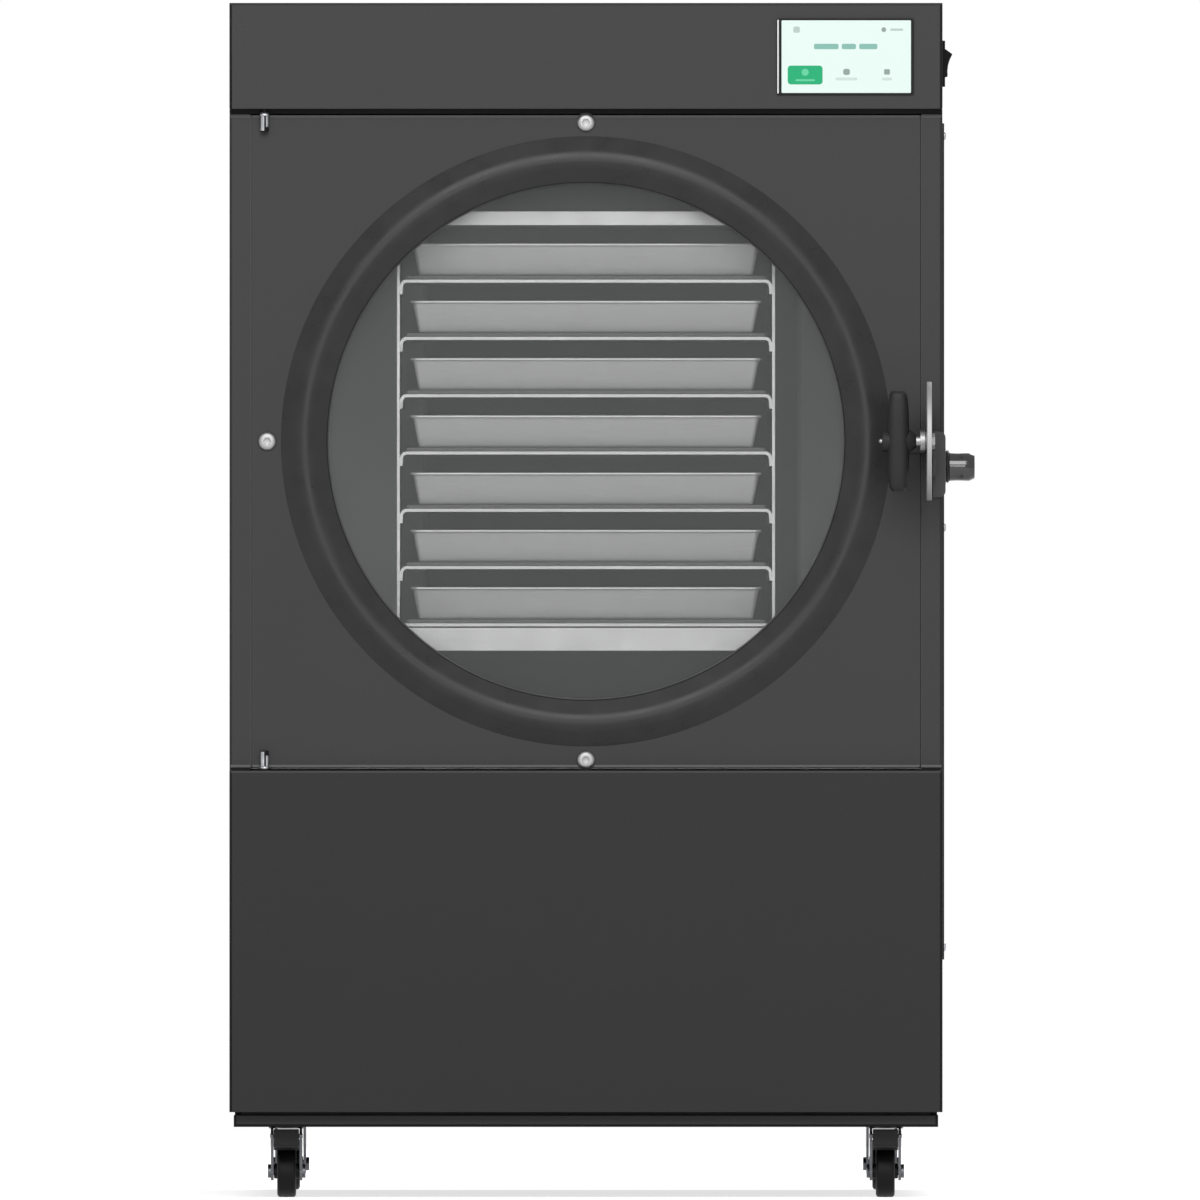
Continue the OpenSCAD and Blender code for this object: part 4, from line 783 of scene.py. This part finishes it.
def hinges():
    """Pins with a domed collar on the cabinet, and rolled barrels with an open seam on the door; the
    pins' black is painted shade.
    """
    at = middle("hinge_pins")
    low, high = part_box("hinge_pins")
    door_low, door_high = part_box("door_panel")
    rods, collars, barrels = bmesh.new(), bmesh.new(), bmesh.new()
    pin, head, collar, barrel, sheet = 2.4, 3.9, 4.6, 4.15, 1
    dome = ((0, -0.7), (collar - 0.2, -0.7), (collar, -0.5), (collar, 0.8), (collar - 0.5, 1.7),
            (collar - 1.4, 2.3), (0, 2.3))
    for way, edge, tip in ((1, door_high.z, high.z), (-1, door_low.z, low.z)):
        at.z = edge
        end = abs(tip - edge) / MM
        rod = ((0, -13), (pin, -13), (pin, end - 2), (head, end - 2), (head, end - 0.4),
               (head - 0.4, end), (0, end))
        for form, profile in ((rods, rod), (collars, dome)):
            lathe(form, [(r, way * h) for r, h in profile], at, "Z", steps=32, closed=False)
        for start, stop, length in ((-250, -95, 14.8), (-70, 60, 11.2)):
            outline = arc((0, 0), barrel, start, stop, 16)
            outline += reversed(arc((0, 0), barrel - sheet, start, stop, 16))
            loft(barrels, [[at + Vector((x, y, z)) * MM for x, y in outline]
                           for z in sorted((-way, -way * length))])
    # The pins are painted black: painted shade, dark through the barrels' open seam and in the gap over
    # the door.
    add_piece("hinge_rods", rods, "cabinet", "latch_steel", ("hinge_pins",), finish="inner_black")
    add_piece("hinge_collars", collars, "cabinet", "zinc_steel", crease=50)
    soften(barrels, 0.25, 2, 60)
    add_piece("hinge_barrels", barrels, "door", "zinc_steel", crease=50)


window_trim()
window_bolts()
painted_door()
painted_door_edges()
base_gap_shades()
edge_strips()
hinges()


# ------------------------------------------------------------------ latch

def bracket():
    """Latch bracket with a painted foot on the door and a bare steel arm."""
    piece = softened_node("latch_bracket", 0.6, 2, 50)
    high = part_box("latch_bracket")[1]
    repaint(piece.data, "door_paint", lambda face: (
        face.center.x < high.x - 5 * MM or face.center.y > high.y - 4 * MM))


def latch_handle():
    """Bar of the latch handle, flat in front with round edges, on a turned hub."""
    low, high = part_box("latch_handle")
    at = SHAFT.copy()
    at.x = low.x
    points = points_of("latch_handle")
    tips = [p.x for p in points if p.z > high.z - 1 * MM]
    bar = (min(tips) + max(tips)) / 2
    half, deep = (high.z - low.z) / 2, (high.y - low.y) / 2
    wide = max(p.x - bar for p in points if abs(abs(p.z - SHAFT.z) - half / 2) < 1 * MM)
    # Half width at shares of the way from the middle to a tip.
    taper = ((0, 1.0), (0.45, 0.97), (0.64, 0.94), (0.8, 0.87), (0.9, 0.82), (0.96, 0.745), (1.0, 0.6))
    rows, squareness = 30, 0.6
    rings = []
    for i in range(-rows, rows + 1):
        share = abs(math.sin(i / rows * math.pi / 2))
        for (start, first), (end, second) in zip(taper, taper[1:]):
            if start <= share <= end:
                width = first + (second - first) * (share - start) / (end - start)
        ring = []
        for p in circle(1, math.copysign(share, i) * half, 48):
            x, y = [math.copysign(abs(c) ** squareness, c) * width for c in p.xy]
            ring.append(Vector((bar + wide * x, SHAFT.y + deep * y, SHAFT.z + p.z)))
        rings.append(ring)
    form = bmesh.new()
    loft(form, rings)
    disc, hub, neck = 10.5, 11, 6.8
    seat, shoulder, end = [(x - low.x) / MM for x in (bar, bar + wide, high.x)]
    profile = [(0, 0), (disc - 1.2, 0), (disc - 0.3, 0.5), (disc, 1.4), (disc, seat), (hub, seat),
               (hub, shoulder), (neck, end - 0.6), (neck - 0.6, end), (0, end)]
    lathe(form, profile, at, "X", steps=48, closed=False)
    add_piece("latch_grip", form, "latch", "handle_black", ("latch_handle",), crease=50)


bracket()
latch_handle()
softened_node("latch_cam", 0.5, 0.3, 50, finish="cam_steel")


# ------------------------------------------------------------------ vacuum port

def port_fitting():
    """Turned chrome fitting with a groove that holds a black seal ring."""
    low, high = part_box("vacuum_port")
    at = middle("vacuum_port")
    at.x = low.x
    end, outer = (high.x - low.x) / MM, (high.z - low.z) / 2 / MM
    bore, socket, mouth, body, groove, wire = 9.5, 8, 13.05, outer - 3, 3.9, 1.35
    profile = [(bore, socket), (mouth, socket), (mouth, 0), (outer - 0.5, 0), (outer, 0.5),
               (outer, 2), (outer - 0.5, 2.5), (body - 0.6, 2.5), (body - 0.6, 5.2),
               (body - 0.3, 5.5), (body, 5.9), (body - 0.25, 10), (body - 0.35, 14),
               (body - 0.25, 18), (body, end - 5.4), (body - 0.3, end - 4.7),
               (body - 2.3, end - 0.4), (body - 2.9, end), (bore + 0.6, end), (bore, end - 0.6)]
    form, ring = bmesh.new(), bmesh.new()
    lathe(form, profile, at, "X", steps=96)
    add_piece("port_fitting", form, "cabinet", "port_chrome", ("vacuum_port",), crease=30)
    lathe(ring, arc((body + 0.2, groove), wire, 0, 345, 23), at, "X", steps=96)
    add_piece("port_seal_ring", ring, "cabinet", "gasket_rubber")


port_fitting()


# ------------------------------------------------------------------ display

# Shapes on the screen: finish, centre, width and height as shares of the screen, how round
# their corners are, and on which layer they lie.
SHAPES = (
    ("button", "screen_green", 0.182, 0.247, 0.27, 0.26, 0.35, 1),
    ("button_dot", "screen_pale_green", 0.182, 0.285, 0.055, 0.098, 1.0, 2),
    ("button_bar", "screen_pale_green", 0.182, 0.175, 0.15, 0.028, 1.0, 2),
    ("stop_dot", "screen_grey", 0.502, 0.29, 0.052, 0.085, 0.7, 1),
    ("stop_bar", "screen_faint", 0.502, 0.192, 0.17, 0.04, 1.0, 1),
    ("timer_dot", "screen_grey", 0.815, 0.29, 0.045, 0.075, 0.4, 1),
    ("timer_bar", "screen_faint", 0.815, 0.192, 0.08, 0.04, 1.0, 1),
    ("menu_dot", "screen_soft_grey", 0.116, 0.872, 0.05, 0.085, 0.5, 1),
    ("state_dot", "screen_grey", 0.79, 0.872, 0.036, 0.066, 1.0, 1),
    ("state_bar", "screen_soft_grey", 0.89, 0.872, 0.1, 0.03, 1.0, 1),
    ("title_left", "screen_teal", 0.345, 0.64, 0.19, 0.075, 0.6, 1),
    ("title_middle", "screen_teal", 0.52, 0.64, 0.11, 0.075, 0.6, 1),
    ("title_right", "screen_teal", 0.67, 0.64, 0.14, 0.075, 0.6, 1),
)


def screen():
    """Lit screen with plain shapes on it, each a thin layer, and a painted highlight on the bezel's
    left edge.
    """
    low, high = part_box("display_screen")
    wide, deep, tall = high - low
    middle_x, middle_z = (low.x + high.x) / 2, (low.z + high.z) / 2
    layer = 0.06 * MM
    glass = bmesh.new()
    plate(glass, rounded(wide, tall, 1 * MM), Vector((middle_x, low.y + 3 * layer, middle_z)),
          deep - 3 * layer)
    add_piece("screen_glass", glass, "cabinet", "screen_glass", ("display_screen",), crease=30)
    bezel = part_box("display_bezel")[0]
    margin = low.x - bezel.x
    strip = bmesh.new()
    plate(strip, rounded(margin * 0.3, tall + 1 * MM, 0.4 * MM),
          Vector((bezel.x + margin * 0.32, bezel.y - 0.05 * MM, middle_z)), 0.3 * MM)
    add_piece("bezel_painted_highlight", strip, "cabinet", "bezel_black", finish="pale_edge", crease=30)
    for name, finish, u, v, w, h, roundness, level in SHAPES:
        form = bmesh.new()
        radius = min(w * wide, h * tall) / 2 * roundness * 0.999
        plate(form, rounded(w * wide, h * tall, radius, 8),
              Vector((low.x + u * wide, low.y + (3 - level) * layer, low.z + v * tall)), layer)
        add_piece("screen_" + name, form, "cabinet", "screen_glass", finish=finish, crease=30)


screen()
softened_node("power_rocker", 0.7, 3, 20, name="rocker_cap")


# ------------------------------------------------------------------ trays

def tray_mesh():
    """Pressed tray round the origin, with sloping sides and a rolled rim in brighter steel as a painted
    highlight.
    """
    wide, deep, tall = [size / MM for size in spread("tray_1")]
    sheet, bead, slope, foot, wall_top, corner, least = 1.2, 1.4, 5.5, 3, 2, 7, 3

    def wall(height, into):
        """Point of the sloping wall at a height, moved inwards."""
        return wall_top + slope * (1 - height / tall) + into, height

    base = wall_top + slope + foot
    section = arc((base, foot), foot, 270, 180, 3) + [wall(tall - 2.9, 0)]
    section += arc((bead, tall - bead), bead, 240, 30, 14)
    section += [wall(tall - 2.2, sheet), wall(tall - 4, sheet)]
    section += arc((base + sheet, foot + sheet), foot, 180, 270, 3)
    form = bmesh.new()
    loft(form, [[Vector((x, y, height - tall / 2)) * MM for x, y in
                 rounded(wide - 2 * inset, deep - 2 * inset, max(corner - inset, least), 8)]
                for inset, height in section])
    mesh = finished("pressed_tray", form, "tray_steel", 50)
    # The rolled rim is in the brighter rack steel: a painted highlight along the rim.
    repaint(mesh, "rack_steel", lambda face: face.center.z > (tall / 2 - 2.9) * MM)
    return mesh


pressed_tray = tray_mesh()
for number in range(1, 8):
    node = "tray_%d" % number
    add_mesh("pressed_" + node, pressed_tray, "cabinet", (node,), middle(node))


# ------------------------------------------------------------------ casters

def wheel_mesh(name, side, finish, steps):
    """Part of a wheel round the origin that turns about X, from one side of its profile."""
    form = bmesh.new()
    mirrored = [(radius, -x) for radius, x in reversed(side) if x]
    lathe(form, side + mirrored, Vector(), "X", steps)
    return finished(name, form, finish, 35)


# In millimetres: radius of the tread, half the width of the hub and of the tread, and the
# rounding of the tread's edges.
TREAD, HUB = spread("caster_wheel_1").z / 2 / MM, spread("caster_wheel_1").x / 2 / MM
HALF, ROUND = 9, 3.2
tread_mesh = wheel_mesh("wheel_tread", [
    (TREAD * 0.62, HALF - 2.6), (TREAD * 0.74, HALF - 2.2), (TREAD - 5, HALF - 0.3),
    *arc((TREAD - ROUND, HALF - ROUND), ROUND, 90, 15, 6),
    (TREAD - 0.15, HALF * 0.4), (TREAD, 0)], "wheel_rubber", 96)
core_mesh = wheel_mesh("wheel_core", [
    (4, HUB), (6.6, HUB), (7.2, HUB - 0.6), (7.4, HALF - 3.4), (9.5, HALF - 4.2),
    (TREAD * 0.58, HALF - 4), (TREAD * 0.62, HALF - 3.2)], "pedal_black", 72)
for number in range(1, 5):
    node = "caster_wheel_%d" % number
    at, body = middle(node), BODY_OF[node]
    add_mesh("wheel_tread_%d" % number, tread_mesh, body, (node,), at)
    add_mesh("wheel_core_%d" % number, core_mesh, body, (), at)


# ------------------------------------------------------------------ screws, fan and condenser

def vent_shade_pads():
    """Dark foam pads behind the side vents: painted shade that keeps the vents dark where the inside of
    the cabinet would be in shade.
    """
    low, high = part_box("side_panel_left")
    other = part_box("side_panel_right")[1].x
    vents_low, vents_high = limits(
        p for p in points_of("side_panel_left")
        if low.y + 30 * MM < p.y < high.y - 30 * MM and low.z + 20 * MM < p.z < low.z + 320 * MM)
    rim, gap, thick = 6 * MM, 3 * MM, 4 * MM
    for name, near, far in (("left", low.x + gap, low.x + gap + thick),
                            ("right", other - gap, other - gap - thick)):
        form = bmesh.new()
        block(form, (near, vents_low.y - rim, vents_low.z - rim),
              (far, vents_high.y + rim, vents_high.z + rim))
        add_piece("vent_shade_pad_" + name, form, "cabinet", "gasket_rubber",
                  finish="filter_foam", crease=30)


def panel_heads():
    """Pan heads of the panel screws, which stand out along the thin side of their box."""
    form = bmesh.new()
    for low, high in pieces_of("panel_screws"):
        size = high - low
        index = 0 if size.x < size.y else 1
        seat = (low + high) / 2
        seat[index] = low[index]
        keyed_head(form, seat, "XY"[index], size.z / 2, size[index], 1.7 * MM, steps=24)
    add_piece("panel_screw_heads", form, "cabinet", "zinc_steel", ("panel_screws",))


def wire_guard():
    """Fan guard of chromed wire: rings on crossed ribs with a loop at each end."""
    low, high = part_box("fan_guard")
    centre = middle("fan_guard")
    outer = (high.x - low.x) / 2
    wire, margin, loop, rings = 0.95 * MM, 3 * MM, 3 * MM, 9
    ear = outer + 2 * MM
    form = bmesh.new()
    centre.y = low.y + wire
    for n in range(1, rings + 1):
        radius = (outer - margin) * n / rings
        tube(form, [centre + Vector((p.x, 0, p.y)) for p in circle(radius, 0, 72)], wire, closed=True)
    centre.y = low.y + 2.6 * wire
    rib = [(outer * 0.08, 0), (ear - 4 * MM, 0)] + arc((ear, 0), loop, -150, 150, 12)
    for turn in (45, 135, 225, 315):
        cos, sin = math.cos(math.radians(turn)), math.sin(math.radians(turn))
        tube(form, [centre + Vector((u * cos - v * sin, 0, u * sin + v * cos)) for u, v in rib], wire)
    add_piece("fan_wire_guard", form, "cabinet", "guard_chrome", ("fan_guard",), crease=60)


def rotor():
    """Five swept, cupped blades on a hub."""
    low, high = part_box("fan_rotor")
    at = middle("fan_guard")
    at.y = low.y
    deep = (high.y - low.y) / MM
    hub, shaft, reach, blades, rows = 29, 4.2, 93, 5, 12
    form = bmesh.new()
    lathe(form, [(shaft, 1), (hub - 3, 1), (hub - 1.2, 2.2), (hub, 6), (hub, deep - 2), (hub - 1, deep),
                 (hub - 2.5, deep), (hub - 2.5, 5), (shaft, 5)], at, "Y", steps=72)
    # A blade's section: places as shares of its chord, and half its thickness up or down.
    cup, thick = 3.2, 0.8
    section = [(side * (k / 8 - 0.5), side * thick) for side in (1, -1) for k in range(9)]
    for blade in range(blades):
        rings = []
        for share in [i / rows for i in range(rows + 1)]:
            radius = hub - 1 + (reach - hub + 1) * share
            chord = 30 + 26 * math.sin(share * math.pi * 0.55)
            pitch = math.radians(34 - 12 * share)
            sweep = 2 * math.pi * blade / blades + 0.35 * share * share
            ring = []
            for place, half in section:
                lift = cup * (1 - (2 * place) ** 2) + half
                along = place * chord * math.cos(pitch) - lift * math.sin(pitch)
                up = place * chord * math.sin(pitch) + lift * math.cos(pitch)
                turn = sweep + along / radius
                ring.append(at + MM * Vector((radius * math.cos(turn), deep / 2 + up * 0.8,
                                              radius * math.sin(turn))))
            rings.append(ring)
        loft(form, rings)
    add_piece("fan_blades", form, "fan", "fan_plastic", ("fan_rotor",), crease=45)


def fins():
    """Close thin fins between the condenser's end plates."""
    low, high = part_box("condenser")
    y = (low.y + high.y) / 2
    count, margin, half, thick = 84, 6 * MM, 22 * MM, 0.25 * MM
    form = bmesh.new()
    for n in range(count):
        x = low.x + margin + (high.x - low.x - 2 * margin) * n / (count - 1)
        block(form, (x, y - half, low.z + 9 * MM), (x + thick, y + half, high.z - 15 * MM))
    add_piece("condenser_fins", form, "cabinet", "fin_aluminium", crease=30)


vent_shade_pads()
panel_heads()
wire_guard()
rotor()
fins()
add_piece("drain_valve_body", welded("drain_valve"), "cabinet", "valve_brass", ("drain_valve",))


# ------------------------------------------------------------------ stage, light and camera

# Strength of the world's light on the object, half the floor's side in metres, and the glow
# that brings the lit floor up to white.
AMBIENT = 0.25
FLOOR_HALF = 3.5
FLOOR_GLOW = 0.72


def studio_floor():
    """Pale floor: it shows as white to the camera where it is lit, and keeps the shadow."""
    mesh = bpy.data.meshes.new("studio_floor")
    corners = [(FLOOR_HALF * x, FLOOR_HALF * y, 0) for x, y in ((-1, -1), (1, -1), (1, 1), (-1, 1))]
    mesh.from_pydata(corners, [], [(0, 1, 2, 3)])
    paint = Shader((0.8, 0.8, 0.8), rough=0.9, gloss=0.0)
    paint.material.name = "studio_floor"
    paint.set("Emission Color", (1, 1, 1, 1))
    glow = paint.node("Math", {0: paint.seen(), 1: FLOOR_GLOW}, operation="MULTIPLY")[0]
    paint.set("Emission Strength", glow)
    mesh.materials.append(paint.material)
    placed("studio_floor", mesh)


def studio_world():
    """Soft even light, with a white background for the camera and for reflections."""
    world = bpy.data.worlds.new("studio")
    bpy.context.scene.world = world
    world.use_nodes = True
    world.node_tree.nodes.clear()
    sky = Nodes(world.node_tree)
    strength = sky.node("MapRange", {"Value": sky.seen(), "To Min": AMBIENT, "To Max": 1.0})["Result"]
    light = sky.node("Background", {"Color": (1, 1, 1, 1), "Strength": strength})[0]
    sky.node("OutputWorld", {"Surface": light})


def area_light(name, at, aim, size, power):
    """Rectangular lamp that faces a point; its size is in metres and its power in watts."""
    lamp = bpy.data.lights.new(name, "AREA")
    lamp.shape = "RECTANGLE"
    lamp.size, lamp.size_y = size
    lamp.energy = power
    way = Vector(aim) - Vector(at)
    placed(name, lamp, at).rotation_euler = way.to_track_quat("-Z", "Y").to_euler()


def studio_camera():
    """Camera far in front of the door, nearly without perspective."""
    reach, view = 40.0, 1.1445
    lens = bpy.data.cameras.new("camera")
    lens.sensor_width = 36.0
    lens.lens = lens.sensor_width * reach / view
    lens.clip_end = 200.0
    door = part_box("header_cover")[0].y + 12 * MM
    at = (middle("header_cover").x + 13.4 * MM, door - reach, view / 2 - 1.6 * MM)
    camera = placed("camera", lens, at)
    camera.rotation_euler = (math.pi / 2, 0, 0)
    bpy.context.scene.camera = camera


studio_floor()
studio_world()
area_light("key", (-0.2, -3.5, 2.7), (0, 0, 0.8), (2.6, 2.0), 105)
area_light("front", (-0.1, -6.0, 1.05), (0, 0, 0.7), (2.4, 1.6), 45)
area_light("back", (0.8, 2.6, 2.6), (0, 0, 0.6), (2.0, 1.6), 60)
studio_camera()
bpy.context.scene.view_settings.view_transform = "Standard"
